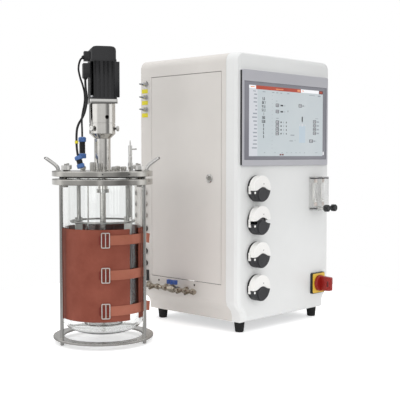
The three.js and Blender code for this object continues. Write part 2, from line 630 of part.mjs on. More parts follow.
function isolatorBase() {
  const { z, size, base, plateSize, plate: label, cornerRadius } = isolator;
  const x = cabinet.width - isolator.right;
  const square = (side) =>
    roundedRect(x - side / 2, z - side / 2, x + side / 2, z + side / 2, cornerRadius);
  const box = pushed(square(size), -base, -seatGap, 1.5, 2);
  const face = pushed(square(plateSize), -base - label, -base + 0.1, 0, 2);
  const bore = bar([x, over, z], [x, -base - label - over, z], grip.shaftRadius + runGap, 10);
  return cut(join([box, face]), [bore]);
}

// The rotary handle: a round boss with a blade across it, and a slot for a padlock.
function isolatorHandle() {
  const { z, base, plate: label } = isolator;
  const x = cabinet.width - isolator.right;
  const near = -base - label - seatGap;
  const disc = bar([x, near, z], [x, near - grip.disc, z], grip.discRadius, 24, grip.discRadius - 1);
  const shape = new THREE.Shape();
  const bladeFoot = near - grip.disc + 1;
  shape.moveTo(bladeFoot, z - grip.halfHeight - 2);
  shape.lineTo(bladeFoot, z + grip.halfHeight + 2);
  shape.lineTo(-grip.reach + 3, z + grip.halfHeight);
  shape.quadraticCurveTo(-grip.reach, z + grip.halfHeight, -grip.reach, z + grip.halfHeight - 3);
  shape.lineTo(-grip.reach, z - grip.halfHeight + 3);
  shape.quadraticCurveTo(-grip.reach, z - grip.halfHeight, -grip.reach + 3, z - grip.halfHeight);
  shape.closePath();
  const blade = acrossX(shape, x - grip.halfWidth, x + grip.halfWidth);
  const slot = block(
    [x - grip.halfWidth - over, -padlockSlot.far, z - padlockSlot.halfHeight],
    [x + grip.halfWidth + over, -padlockSlot.near, z + padlockSlot.halfHeight]);
  const shaft = bar([x, near - 1, z], [x, 14, z], grip.shaftRadius, 8);
  return join([cut(join([disc, blade]), [slot]), shaft]);
}

// Hose fittings screwed end to end, held off the wall by stubs, with a ball valve in the row.
function hoseRow() {
  const { x, z, radius, nutRadius, nut } = hoses;
  const pipe = bar([x, hoses.front, z], [x, hoses.rear, z], radius, 8);
  const nuts = hoseNutYs.map((y) => bar([x, y - nut / 2, z], [x, y + nut / 2, z], nutRadius, 6));
  const barbs = hoseBarbYs.map((y) => bar([x, y, z], [x - 19, y, z - 6], 4.5, 6, 3.5));
  const stubs = hoseWallYs.map((y) => bar([x, y, z], [-seatGap, y, z], 5, 6));
  const body = bar([x, valve.y - 14, z], [x, valve.y + 14, z], valve.bodyRadius, 8);
  const neck = bar([x, valve.y, z], [x, valve.y, z + valve.bodyRadius + 2], valve.stemRadius + 2, 8);
  return join([pipe, ...nuts, ...barbs, ...stubs, body, neck]);
}

// The valve's butterfly handle: two wings on a hub.
function valveWing() {
  const { y, wingHalf, wing, wingDepth, bodyRadius } = valve;
  const { x, z } = hoses;
  const bottom = z + bodyRadius + 2 + seatGap;
  const shape = new THREE.Shape();
  shape.moveTo(x - 3, y - 6);
  shape.quadraticCurveTo(x - wingDepth / 2, y - wingHalf + 4, x - 3.5, y - wingHalf);
  shape.lineTo(x + 3.5, y - wingHalf);
  shape.quadraticCurveTo(x + wingDepth / 2, y - wingHalf + 4, x + 3, y - 6);
  shape.lineTo(x + 3, y + 6);
  shape.quadraticCurveTo(x + wingDepth / 2, y + wingHalf - 4, x + 3.5, y + wingHalf);
  shape.lineTo(x - 3.5, y + wingHalf);
  shape.quadraticCurveTo(x - wingDepth / 2, y + wingHalf - 4, x - 3, y + 6);
  shape.closePath();
  const hub = bar([x, y, bottom], [x, y, bottom + wing - 2], 6.5, 16);
  return join([raised(shape, bottom, bottom + wing, 4), hub]);
}

// A folded plate that stands on the tray, with the boxes that the door gives access to.
function controlChassis() {
  const { x, sheet, front: near, fold } = chassis;
  const rear = cabinet.depth - chassis.back;
  const top = cabinet.top - chassis.drop;
  const bottom = foot.height + tray.sheet + seatGap;
  const panel = block([x, near, bottom], [x + sheet, rear, top]);
  const bottomFold = block([x, near, bottom], [x + fold, rear, bottom + sheet]);
  const topFold = block([x, near, top - sheet], [x + fold, rear, top]);
  const onPanel = (box) =>
    block([x - box.reach, box.front, box.bottom], [x + sheet / 2, box.rear, box.top]);
  const row = (box) => Array.from({ length: box.count }, (_, i) => {
    const front = box.front + i * box.pitch;
    return onPanel({ ...box, front, rear: front + box.width });
  });
  const boxes = [controlBox, supplyBox, airPump].map(onPanel);
  return join([panel, bottomFold, topFold, ...boxes, ...row(supplyFin), ...row(driveBox)]);
}

function buildCabinet() {
  const group = new THREE.Group();
  addPiece(group, "cabinet_shell", coverShell(), sidePaint);
  addPiece(group, "front_bezel", frontMoulding(), frontPaint);
  addPiece(group, "floor_tray", floorTray(), galvanised);
  addPiece(group, "back_panel", backPanel(), sidePaint);
  addPiece(group, "service_door", serviceDoor(), sidePaint);
  addPiece(group, "door_lock", camLock(), steel);
  addPiece(group, "screen_bezel", screenFrame(), screenGrey);
  addPiece(group, "screen_panel", screenSheet(), screenLight);
  addPiece(group, "control_chassis", controlChassis(), galvanised);
  addPiece(group, "isolator_base", isolatorBase(), yellow);
  addPiece(group, "isolator_handle", isolatorHandle(), red);
  addPiece(group, "hose_manifold", hoseRow(), zinc);
  addPiece(group, "valve_handle", valveWing(), blue);
  pumpCentres.forEach((z, i) => {
    const lid = pumpLid(z + pumpCover.raised[i]);
    addPiece(group, `pump_body_${i + 1}`, pumpBody(z), blackPlastic);
    addPiece(group, `pump_cover_${i + 1}`, lid, whitePlastic);
    addPiece(group, `pump_rotor_${i + 1}`, pumpRotor(z), blackPlastic);
  });
  meterXs.forEach((x, i) => {
    addPiece(group, `flow_meter_${i + 1}`, meterBody(x), acrylic);
    addPiece(group, `flow_float_${i + 1}`, meterFloatBody(x), steel);
    addPiece(group, `flow_knob_${i + 1}`, meterValveKnob(x), blackPlastic);
  });
  const footXs = [footPlace.side, cabinet.width - footPlace.side];
  const footYs = [footPlace.front, cabinet.depth - footPlace.back];
  footXs.flatMap((x) => footYs.map((y) => [x, y])).forEach(([x, y], i) => {
    addPiece(group, `foot_${i + 1}`, rubberFoot(x, y), rubber);
  });
  return group;
}

function baseRing() {
  const { inset, bottom, top } = ring;
  const inner = jar.radius - inset;
  const outer = flangeRadius;
  const hoop = turnedRing([[inner, bottom], [outer, bottom], [outer, top], [inner, top]], hoopSides);
  const holes = leg.angles.map((angle) => bar(
    around(legCircle, angle, bottom - over), around(legCircle, angle, top + over),
    leg.radius + seatGap, 10));
  return cut(hoop, holes);
}

function standRod(angle) {
  const [x, y] = around(legCircle, angle, 0);
  const top = flange.bottom - seatGap;
  const profile = [[0, 0], [leg.radius - 0.6, 0], [leg.radius, 0.8], [leg.radius, top], [0, top]];
  return turned(profile, 14).translate(x, y, 0);
}

// The flange that carries the jar's rim, with its threaded studs and their bolt heads.
function standFlange() {
  const { bottom, thickness } = flange;
  const bore = jar.radius + flange.clearance;
  const top = bottom + thickness;
  const hoop = turnedRing([
    [bore, bottom], [flangeRadius, bottom], [flangeRadius, top - plate.chamfer],
    [flangeRadius - plate.chamfer, top], [bore, top],
  ], hoopSides);
  const studs = clamp.angles.flatMap((angle) => [
    bar(
      around(clampCircle, angle, bottom - studHead.height), around(clampCircle, angle, bottom + over),
      studHead.radius, 6),
    bar(
      around(clampCircle, angle, top - over), around(clampCircle, angle, plateTop + clamp.studReach),
      clamp.studRadius, 8),
  ]);
  return join([hoop, ...studs]);
}

function glassJar() {
  const dishSteps = 4;
  const dish = (radius, depth, i) => {
    const angle = (i / dishSteps) * (Math.PI / 2);
    return [radius * Math.sin(angle), jar.dish - depth * Math.cos(angle)];
  };
  const depth = jar.dish - jar.bottom;
  const steps = Array.from({ length: dishSteps + 1 }, (_, i) => i);
  const outside = steps.map((i) => dish(jar.radius, depth, i));
  const inside = steps.map((i) => dish(jarBore, depth - jar.wall, i)).reverse();
  outside[0][0] = 0;
  inside[dishSteps][0] = 0;
  const rim = [
    [jar.radius, rimBottom], [rimRadius, rimBottom], [rimRadius, rimTop], [jarBore, rimTop],
  ];
  return turned([...outside, ...rim, ...inside], jarSides);
}

function jarGasket() {
  const bottom = rimTop + seatGap;
  const inner = jarBore + gasket.clearance;
  return turnedRing(
    [[inner, bottom], [rimRadius, bottom], [rimRadius, gasketTop], [inner, gasketTop]], jarSides);
}

// A port welded to the head plate, with its screwed cap.
function cappedPort({ x, y, radius, height }) {
  const top = plateTop + height;
  const neck = radius - portNeck.inset;
  const capBottom = plateTop + portNeck.height;
  const profile = [
    [0, plateTop - over], [neck, plateTop - over], [neck, capBottom], [radius, capBottom],
    [radius, top], [0, top],
  ];
  return turned(profile, 8).translate(x, y, 0);
}

const liftSides = [-1, 1];
const liftLegX = flangeRadius - lift.inset;

function headPlate() {
  const radius = flangeRadius;
  const disc = turnedRing([
    [plate.bore, plateBottom], [radius, plateBottom], [radius, plateTop - plate.chamfer],
    [radius - plate.chamfer, plateTop], [plate.bore, plateTop],
  ], hoopSides);
  const hole = ([x, y], r) => bar([x, y, plateBottom - over], [x, y, plateTop + over], r, 8);
  const studHoles = clamp.angles.map((angle) =>
    hole(around(clampCircle, angle, 0), clamp.studRadius + runGap));
  const liftHoles = liftSides.flatMap((side) => liftSides.map((end) =>
    hole([side * liftLegX, end * lift.halfSpan], lift.rodRadius + runGap + seatGap)));
  const harvestHole = hole([harvest.x, harvest.y], harvest.radius + runGap);
  const drilled = cut(disc, [...studHoles, ...liftHoles, harvestHole]);
  return join([drilled, ...ports.map(cappedPort)]);
}

function handNut(angle) {
  const { radius, waist, waistHeight, height, lobes, lobeDepth } = clampNut;
  const [x, y] = around(clampCircle, angle, 0);
  const bottom = plateTop + seatGap;
  const headBottom = bottom + waistHeight;
  const neck = bar([0, 0, bottom], [0, 0, headBottom + 0.1], waist, 10);
  const head = raised(lobedCircle(radius, lobes, lobeDepth, 2), headBottom, headBottom + height);
  const bore = bar([0, 0, bottom - over], [0, 0, headBottom + height + over], clamp.studRadius + runGap, 8);
  return cut(join([neck, head]), [bore]).translate(x, y, 0);
}

// A bent rod whose two legs stand in the head plate, leaning out to a bar to lift by.
function liftHandle(side) {
  const { halfSpan, rise, top, rodRadius, seat } = lift;
  const reach = flangeRadius + lift.reach;
  const legPoints = (end) => [
    [side * liftLegX, end * halfSpan, plateTop - seat],
    [side * liftLegX, end * halfSpan, plateTop + rise * 0.5],
    [side * (liftLegX + 4), end * halfSpan, plateTop + rise],
    [side * (reach - 10), end * halfSpan, plateTop + top - 7],
    [side * (reach - 1), end * (halfSpan - 3), plateTop + top - 0.6],
    [side * reach, end * (halfSpan - 10), plateTop + top],
  ];
  return swept([...legPoints(-1), ...legPoints(1).reverse()], rodRadius, 6, 16);
}

function driveHousing() {
  const { spigotRadius, spigotDrop, tubeRadius, bodyRadius } = drive;
  const [coneBottom, coneTop, seam, top] = ["coneBottom", "coneTop", "seam", "top"]
    .map((level) => plateTop + driveRise[level]);
  const seat = plateTop + seatGap;
  const spigotBottom = plateTop - spigotDrop;
  const journal = stir.radius + runGap;
  const journalTop = plateTop + driveBore.journal;
  const sleeve = turnedRing([
    [spigotRadius, spigotBottom], [spigotRadius, seat], [tubeRadius, seat],
    [tubeRadius, coneBottom], [bodyRadius, coneTop], [bodyRadius, seam - 0.5],
    [bodyRadius - 0.6, seam], [bodyRadius, seam + 0.5], [bodyRadius, top], [driveBore.body, top],
    [driveBore.body, coneTop + 4], [driveBore.tube, coneBottom + 4],
    [driveBore.tube, journalTop + driveBore.taper], [journal, journalTop], [journal, spigotBottom],
  ], 20);
  const [sx, sy] = around(bodyRadius, driveSlot.angle, 0);
  const { width, depth, rise } = driveSlot;
  const slot = block([-width / 2, -depth / 2, seam + rise], [width / 2, depth / 2, top + over])
    .rotate([0, 0, driveSlot.angle])
    .translate(sx, sy, 0);
  const portZ = plateTop + drivePort.rise;
  const sight = bar(
    [drivePort.x, -bodyRadius - over, portZ], [drivePort.x, -bodyRadius + drivePort.depth, portZ],
    drivePort.radius, 12);
  return cut(sleeve, [slot, sight]);
}

// A square servo motor: bright flange, eared front, ribbed body, rounded rear cap, two cable boxes.
function servoMotor() {
  const half = motor.size / 2;
  const flangeHalf = motor.flange / 2;
  const flangeBottom = driveTop + seatGap;
  const square = (size, corner) => roundedRect(-size, -size, size, size, corner);
  const base = raised(square(flangeHalf, 4), flangeBottom, motorFlangeTop, 3);
  const ears = raised(square(flangeHalf - 1, 8), motorFlangeTop - 0.1, motorFlangeTop + motor.ears, 2);
  const trunk = raised(square(half, 6), motorFlangeTop, motorBodyTop, 2);
  const grooves = [];
  for (let i = 0; i < motorRib.count; i++) {
    const at = (i - (motorRib.count - 1) / 2) * motorRib.pitch;
    const low = motorFlangeTop + motor.ears + 0.1;
    const high = motorBodyTop - motorRib.margin;
    for (const turn of [0, 90, 180, 270]) {
      grooves.push(
        block([at - motorRib.width / 2, half - motorRib.depth, low],
          [at + motorRib.width / 2, half + over, high]).rotate([0, 0, turn]));
    }
  }
  const capHalf = half - motorCap.inset;
  const { straight, shoulder } = motorCap;
  const shape = new THREE.Shape();
  shape.moveTo(-capHalf, 0);
  shape.lineTo(-capHalf, straight);
  shape.quadraticCurveTo(-capHalf, motor.cap, -capHalf + shoulder, motor.cap);
  shape.lineTo(capHalf - shoulder, motor.cap);
  shape.quadraticCurveTo(capHalf, motor.cap, capHalf, straight);
  shape.lineTo(capHalf, 0);
  shape.closePath();
  const profile = pushed(shape, -capHalf, capHalf, 0, 3).translate(0, 0, motorBodyTop - 0.1);
  const trimmed = profile.intersect(
    raised(square(capHalf, 7), motorBodyTop - over, motorBodyTop + motor.cap, 2));
  const box = ({ x, halfDepth, bottom, top }) => block(
    [x, -halfDepth, motorFlangeTop + bottom], [-half + over, halfDepth, motorFlangeTop + top]);
  const bore = bar(
    [0, 0, flangeBottom - over], [0, 0, motorFlangeTop - motorShaft.drop + over],
    motorShaft.radius + runGap, 10);
  const whole = cut(
    join([base, ears, trunk, trimmed, box(encoderBox), box(powerBox)]), [...grooves, bore]);
  return whole.rotate([0, 0, THREE.MathUtils.radToDeg(motorTurn)]);
}

// The shaft, its coupling to the motor, and two disc turbines with upright blades.
function agitator() {
  const { radius, bottom, couplingRadius } = stir;
  const low = plateTop + stir.couplingBottom;
  const high = plateTop + stir.couplingTop;
  const groove = couplingGroove;
  const shaftTop = motorFlangeTop - motorShaft.drop;
  const shaft = turned([
    [0, bottom], [radius, bottom], [radius, low], [couplingRadius - 2, low],
    [couplingRadius, low + 2], [couplingRadius, low + groove.bottom],
    [couplingRadius - groove.depth, low + groove.bottom + groove.slope],
    [couplingRadius - groove.depth, low + groove.top - groove.slope],
    [couplingRadius, low + groove.top], [couplingRadius, high - 2], [couplingRadius - 2, high],
    [motorShaft.radius, high], [motorShaft.radius, shaftTop], [0, shaftTop],
  ], 12);
  const turbine = (z) => {
    const hub = bar([0, 0, z - hubHalfHeight], [0, 0, z + hubHalfHeight], impeller.hub, 10);
    const disc = bar([0, 0, z - 1], [0, 0, z + 1], impeller.disc, 14);
    const blades = Array.from({ length: impeller.count }, (_, i) =>
      block([impeller.tip - impeller.blade, -bladeThickness / 2, z - impeller.bladeHeight / 2],
        [impeller.tip, bladeThickness / 2, z + impeller.bladeHeight / 2])
        .rotate([0, 0, (i * 360) / impeller.count]));
    return join([hub, disc, ...blades]);
  };
  return join([shaft, ...impeller.zs.map(turbine)]);
}

// Three upright baffle strips on hanging rods, held together by two wire rings.
function baffleCage() {
  const wireRing = (z) => solid(
    new THREE.TorusGeometry(cageRadius, cage.ringWire, 4, 20).translate(0, 0, z));
  const strips = cageRod.angles.map((angle) =>
    block([-1.25, -cageRadius, cage.bottom], [1.25, cage.depth - cageRadius, cage.top])
      .rotate([0, 0, angle]));
  const rods = cageRod.angles.map((angle) => bar(
    around(cageRadius - cageRod.inset, angle, cage.top - cageRod.overlap),
    around(cageRadius - cageRod.inset, angle, plateBottom - seatGap), cageRod.radius, 8));
  return join([...cage.ringZs.map(wireRing), ...strips, ...rods]);
}

function gasSparger() {
  const { radius, wire, z, pipeRadius, angle } = sparge;
  const loop = solid(new THREE.TorusGeometry(radius, wire, 5, 18).translate(0, 0, z));
  const pipe = bar(around(radius, angle, z), around(radius, angle, plateBottom - seatGap), pipeRadius, 6);
  return join([loop, pipe]);
}

function harvestTube() {
  const { x, y, radius, bottom, nutRadius, nutRise, bodyRise } = harvest;
  const at = (z) => [x, y, z];
  const bodyTop = plateTop + bodyRise;
  const armZ = plateTop + harvestArm.rise;
  return join([
    bar(at(bottom), at(plateTop + over), radius, 12),
    bar(at(plateTop + seatGap), at(plateTop + nutRise), nutRadius, 6),
    bar(at(plateTop + nutRise - over), at(bodyTop), radius + seatGap, 12),
    bar(at(armZ), [x + harvestArm.length, y, armZ + 1], harvestArm.radius, 6),
    bar(at(bodyTop - over), at(plateTop + harvestArm.topRise), harvestArm.topRadius, 6),
  ]);
}

// Part of a ring between two angles from the front, as an outline in X and Y.
function sector(inner, outer, from, to, steps) {
  const shape = new THREE.Shape();
  const at = (radius, i) => around(radius, from + ((to - from) * i) / steps, 0);
  shape.moveTo(...at(inner, 0).slice(0, 2));
  for (let i = 1; i <= steps; i++) shape.lineTo(...at(inner, i).slice(0, 2));
  for (let i = steps; i >= 0; i--) shape.lineTo(...at(outer, i).slice(0, 2));
  shape.closePath();
  return shape;
}

// The heater blanket wraps the jar all but a gap, which its three straps pull across.
function heaterBlanket() {
  const inner = jar.radius + blanket.clearance;
  const outer = inner + blanket.thickness;
  const wrap = raised(
    sector(inner, outer, blanket.gapTo, blanket.gapFrom + 360, 34), blanket.bottom, blanket.top);
  const band = (z) => {
    const bottom = z - strap.width / 2;
    const top = z + strap.width / 2;
    const along = raised(
      sector(outer - 0.1, outer + strap.thickness, strap.from, strap.to, 6), bottom, top);
    const [x, y] = around(outer, strap.to, 0);
    const tail = block([0, 0, bottom], [strap.thickness, strap.tail, top])
      .rotate([0, 0, strap.to - 90 - strap.tailTurn])
      .translate(x, y - 1, 0);
    return join([along, tail]);
  };
  return join([wrap, ...strap.zs.map(band)]);
}

// An inline connector: a sleeve with a nut at each end, along a line from top to bottom.
function inlineConnector({ top, bottom, nut }) {
  const start = new THREE.Vector3(...abovePlate(top));
  const finish = new THREE.Vector3(...abovePlate(bottom));
  const length = start.distanceTo(finish);
  const at = (distance) => start.clone().lerp(finish, distance / length).toArray();
  const { nutRadius, bodyRadius, sides } = connector;
  return join([
    bar(at(0), at(nut), nutRadius, sides),
    bar(at(nut - 1), at(length - nut + 1), bodyRadius, sides),
    bar(at(length - nut), at(length), nutRadius, sides),
  ]);
}

function motorCable(route, { radius, sides, steps }) {
  return swept(route.map(abovePlate), radius, sides, steps);
}

function buildVessel() {
  const group = new THREE.Group();
  addPiece(group, "base_ring", baseRing(), steel);
  leg.angles.forEach((angle, i) => {
    addPiece(group, `stand_rod_${i + 1}`, standRod(angle), steel);
  });
  addPiece(group, "stand_flange", standFlange(), steel);
  addPiece(group, "glass_jar", glassJar(), glass);
  addPiece(group, "jar_gasket", jarGasket(), rubber);
  addPiece(group, "head_plate", headPlate(), steel);
  clamp.angles.forEach((angle, i) => {
    addPiece(group, `clamp_nut_${i + 1}`, handNut(angle), steel);
  });
  liftSides.forEach((side, i) => {
    addPiece(group, `lift_handle_${i + 1}`, liftHandle(side), steel);
  });
  addPiece(group, "drive_housing", driveHousing(), steel);
  addPiece(group, "servo_motor", servoMotor(), motorBlack);
  addPiece(group, "agitator_shaft", agitator(), steel);
  addPiece(group, "baffle_cage", baffleCage(), steel);
  addPiece(group, "sparger", gasSparger(), steel);
  addPiece(group, "harvest_tube", harvestTube(), steel);
  addPiece(group, "heater_blanket", heaterBlanket(), silicone);
  addPiece(group, "encoder_cable", motorCable(encoderRoute, encoderCable), rubber);
  addPiece(group, "encoder_connector", inlineConnector(encoderPlug), blue);
  addPiece(group, "power_cable", motorCable(powerRoute, powerCable), rubber);
  addPiece(group, "power_connector", inlineConnector(powerPlug), blue);
  group.rotation.z = vessel.turn;
  group.position.set(-flangeRadius - vessel.space, vessel.y, 0);
  return group;
}

const bioreactor = new THREE.Group();
bioreactor.add(buildCabinet(), buildVessel());
bioreactor.updateMatrixWorld(true);
const extent = new THREE.Box3().setFromObject(bioreactor, true);
const middle = extent.getCenter(new THREE.Vector3());
bioreactor.position.set(-middle.x, -middle.y, -extent.min.z);

export default bioreactor;
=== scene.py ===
# Dresses the bench bioreactor: a stirred glass vessel in its stand, beside its control cabinet.
# Sizes in the dictionaries are millimetres. Two places are used: the cabinet's, with its front left
# bottom corner at zero, and the vessel's, with its axis at zero and its front towards -Y. In the stages
# below, f and g stand for the dictionary of the piece being made.
import math

import bmesh
import bpy
import numpy as np
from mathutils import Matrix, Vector


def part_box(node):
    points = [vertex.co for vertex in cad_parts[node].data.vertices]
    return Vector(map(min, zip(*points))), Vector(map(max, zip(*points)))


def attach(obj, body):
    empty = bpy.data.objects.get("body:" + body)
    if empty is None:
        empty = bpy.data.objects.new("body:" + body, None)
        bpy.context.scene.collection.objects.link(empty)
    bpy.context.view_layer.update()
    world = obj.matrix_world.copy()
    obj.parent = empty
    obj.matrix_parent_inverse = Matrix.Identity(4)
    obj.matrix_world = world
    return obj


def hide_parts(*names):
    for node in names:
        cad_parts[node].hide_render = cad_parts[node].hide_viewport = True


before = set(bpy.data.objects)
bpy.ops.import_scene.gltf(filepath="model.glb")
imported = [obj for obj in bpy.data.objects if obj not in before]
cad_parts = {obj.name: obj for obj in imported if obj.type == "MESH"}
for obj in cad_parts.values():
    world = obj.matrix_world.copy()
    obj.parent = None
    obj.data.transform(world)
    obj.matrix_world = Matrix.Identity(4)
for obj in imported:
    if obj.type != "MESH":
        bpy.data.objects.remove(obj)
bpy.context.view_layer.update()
scene = bpy.context.scene

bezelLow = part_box("front_bezel")[0]
ringLow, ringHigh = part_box("base_ring")
cabinetOrigin = np.array([bezelLow[0], bezelLow[1], 0.0])
vesselAxis = np.array([(ringLow[0] + ringHigh[0]) / 2, (ringLow[1] + ringHigh[1]) / 2, 0.0])
vesselTurn = math.radians(-39.55)


# Cabinet millimetres to the scene's metres
def onCabinet(points):
    return cabinetOrigin + np.asarray(points, float) * 0.001


# Points turned about Z: x times the cosine less y times the sine, and x times the sine plus y times the
# cosine
def spun(points, angle):
    c, s = math.cos(angle), math.sin(angle)
    x, y, z = np.moveaxis(np.asarray(points, float), -1, 0)
    return np.stack([x * c - y * s, x * s + y * c, z], -1)


# Vessel millimetres, turned about the vessel's axis, to the scene's metres
def onVessel(points):
    return vesselAxis + spun(np.asarray(points, float) * 0.001, vesselTurn)


# The scene's metres back to each place's millimetres
def fromCabinet(points):
    return (np.asarray(points, float) - cabinetOrigin) * 1000


def fromVessel(points):
    return spun((np.asarray(points, float) - vesselAxis) * 1000, -vesselTurn)


# A place round the vessel's axis: degrees from the front, towards +X
def around(radius, degrees, z=0.0):
    angle = np.radians(degrees)
    return np.stack(np.broadcast_arrays(radius * np.sin(angle), -radius * np.cos(angle), z), -1)


print("stage: camera")
cameraPlace = {"at": (-1.7161, -1.6745, 0.4901), "yaw": 46.08, "pitch": 3.03, "lens": 76.5}
camera = bpy.data.objects.new("camera", bpy.data.cameras.new("camera"))
scene.collection.objects.link(camera)
camera.location = cameraPlace["at"]
camera.rotation_euler = (math.radians(90 - cameraPlace["pitch"]), 0, -math.radians(cameraPlace["yaw"]))
camera.data.lens = cameraPlace["lens"]
camera.data.sensor_width = 36.0
camera.data.clip_end = 60
scene.camera = camera


# A shape is a pair: its points in millimetres, and its faces as a list of index arrays
def facingOut(points, faces):
    total = 0.0
    for face in faces:
        corners = points[face]
        for i in range(1, face.shape[1] - 1):
            total += np.einsum("ij,ij->i", corners[:, 0], np.cross(corners[:, i], corners[:, i + 1])).sum()
    return (points, [face[:, ::-1] for face in faces]) if total < 0 else (points, faces)


# Quads of a grid of rows by columns, wrapped in either direction
def gridQuads(rows, columns, wrapRows=False, wrapColumns=False):
    i = np.arange(rows if wrapRows else rows - 1)
    j = np.arange(columns if wrapColumns else columns - 1)
    a, b = np.meshgrid(i, j, indexing="ij")
    nextA, nextB = (a + 1) % rows, (b + 1) % columns
    quads = [a * columns + b, nextA * columns + b, nextA * columns + nextB, a * columns + nextB]
    return np.stack(quads, -1).reshape(-1, 4)


# Each corner that has a third value becomes an arc of that radius between its two sides. A point just
# beyond each end of the arc keeps the shading of the long side flat.
def roundedLine(corners, closed=False, steps=4):
    out = []
    count = len(corners)
    for i, corner in enumerate(corners):
        here = np.array(corner[:2], float)
        radius = corner[2] if len(corner) > 2 else 0
        if radius <= 0 or (not closed and i in (0, count - 1)):
            out.append(here)
            continue
        before = np.array(corners[i - 1][:2], float) - here
        after = np.array(corners[(i + 1) % count][:2], float) - here
        lengths = np.linalg.norm(before), np.linalg.norm(after)
        before, after = before / lengths[0], after / lengths[1]
        half = math.acos(np.clip(before @ after, -0.9999, 0.9999)) / 2
        reach = min(radius / math.tan(half), lengths[0] * 0.49, lengths[1] * 0.49)
        t = np.linspace(0, 1, steps + 1)[:, None]
        start, end = here + before * reach, here + after * reach
        margins = [min(reach * 1.4, length * 0.499) for length in lengths]
        out.append(here + before * margins[0])
        out.extend((1 - t) ** 2 * start + 2 * t * (1 - t) * here + t**2 * end)
        out.append(here + after * margins[1])
    return np.array(out)


axisOrder = {"z": (0, 1, 2), "y": (0, 2, 1), "x": (1, 2, 0)}


# Points drawn up the Z axis, laid along another one
def laidAlong(points, axis):
    moved = np.empty_like(points)
    moved[:, axisOrder[axis]] = points
    return moved


# radius(height) turned about an axis. ripple cuts lobes, (count, depth) or (count, depths along the
# profile), and flats cuts a polygon of (count, half width across flats).
def turnedShape(profile, at=(0, 0, 0), axis="z", segments=64, ripple=None, flats=None, closed=False,
        phase=0.0):
    profile = roundedLine(profile, closed)
    radius, height = profile[:, 0], profile[:, 1]
    theta = np.linspace(0, 2 * np.pi, segments, endpoint=False) + phase
    radii = np.repeat(radius[None, :], segments, 0)
    if ripple is not None:
        depth = np.asarray(ripple[1]) * np.ones_like(radius)
        radii = radii - depth[None, :] * (1 - np.cos(ripple[0] * theta))[:, None] / 2
    if flats is not None:
        wedge = 2 * np.pi / flats[0]
        toFlat = (theta + wedge / 2) % wedge - wedge / 2
        radii = np.minimum(radii, (flats[1] / np.cos(toFlat))[:, None])
    radii = np.maximum(radii, 0)
    across, deep = radii * np.cos(theta)[:, None], radii * np.sin(theta)[:, None]
    grid = np.stack([across, deep, np.repeat(height[None, :], segments, 0)], -1)
    first = 0 if closed or radius[0] > 1e-6 else 1
    last = len(radius) if closed or radius[-1] > 1e-6 else len(radius) - 1
    body = grid[:, first:last]
    columns = body.shape[1]
    points = body.reshape(-1, 3)
    faces = [gridQuads(segments, columns, True, closed)]
    for pole, column in ((0, 0), (-1, columns - 1)):
        if closed:
            continue
        ring = np.arange(segments) * columns + column
        tip = np.array([[0, 0, height[pole]]])
        points = np.concatenate([points, tip])
        hub = np.full(segments, len(points) - 1)
        fan = np.stack([ring, hub, np.roll(ring, -1)], -1)
        faces.append(fan if pole == 0 else fan[:, ::-1])
    return facingOut(laidAlong(points, axis) + np.array(at, float), faces)


# A plain post between two heights, its two edges eased by their own radii
def post(radius, low, high, lowEase=0, highEase=0, **how):
    return turnedShape([(0, low), (radius, low, lowEase), (radius, high, highEase), (0, high)], **how)


# A plain ring between two radii and two heights. eases are its corners' radii: inside and outside at the
# bottom, then outside and inside at the top.
def band(inner, outer, low, high, eases=(0, 0, 0, 0), **how):
    corners = ((inner, low), (outer, low), (outer, high), (inner, high))
    return turnedShape([(*corner, ease) for corner, ease in zip(corners, eases)], closed=True, **how)


# Points along a smooth curve through the given ones, spaced evenly (Catmull-Rom)
def smoothPath(points, count):
    points = np.asarray(points, float)
    padded = np.concatenate([[2 * points[0] - points[1]], points, [2 * points[-1] - points[-2]]])
    knots = np.concatenate([[0], np.cumsum(np.linalg.norm(np.diff(padded, axis=0), axis=1) ** 0.5)])
    pieces = []
    for i in range(1, len(padded) - 2):
        p0, p1, p2, p3 = padded[i - 1:i + 3]
        t0, t1, t2, t3 = knots[i - 1:i + 3]
        t = np.linspace(t1, t2, 40, endpoint=False)[:, None]
        a1 = (t1 - t) / (t1 - t0) * p0 + (t - t0) / (t1 - t0) * p1
        a2 = (t2 - t) / (t2 - t1) * p1 + (t - t1) / (t2 - t1) * p2
        a3 = (t3 - t) / (t3 - t2) * p2 + (t - t2) / (t3 - t2) * p3
        b1 = (t2 - t) / (t2 - t0) * a1 + (t - t0) / (t2 - t0) * a2
        b2 = (t3 - t) / (t3 - t1) * a2 + (t - t1) / (t3 - t1) * a3
        pieces.append((t2 - t) / (t2 - t1) * b1 + (t - t1) / (t2 - t1) * b2)
    dense = np.concatenate([*pieces, points[-1:]])
    run = np.concatenate([[0], np.cumsum(np.linalg.norm(np.diff(dense, axis=0), axis=1))])
    want = np.linspace(0, run[-1], count)
    return np.stack([np.interp(want, run, dense[:, k]) for k in range(3)], -1)


# Two directions square to a path at each of its points, turning as little as they can
def pathFrames(path, up=(0, 0, 1), loop=False):
    tangent = np.roll(path, -1, 0) - np.roll(path, 1, 0) if loop else np.gradient(path, axis=0)
    tangent /= np.linalg.norm(tangent, axis=1)[:, None]
    side = np.cross(tangent[0], up)
    if np.linalg.norm(side) < 1e-3:
        side = np.cross(tangent[0], (1, 0, 0))
    sides = np.empty_like(path)
    for i, direction in enumerate(tangent):
        side = side - (side @ direction) * direction
        side = side / np.linalg.norm(side)
        sides[i] = side
    return sides, np.cross(tangent, sides)


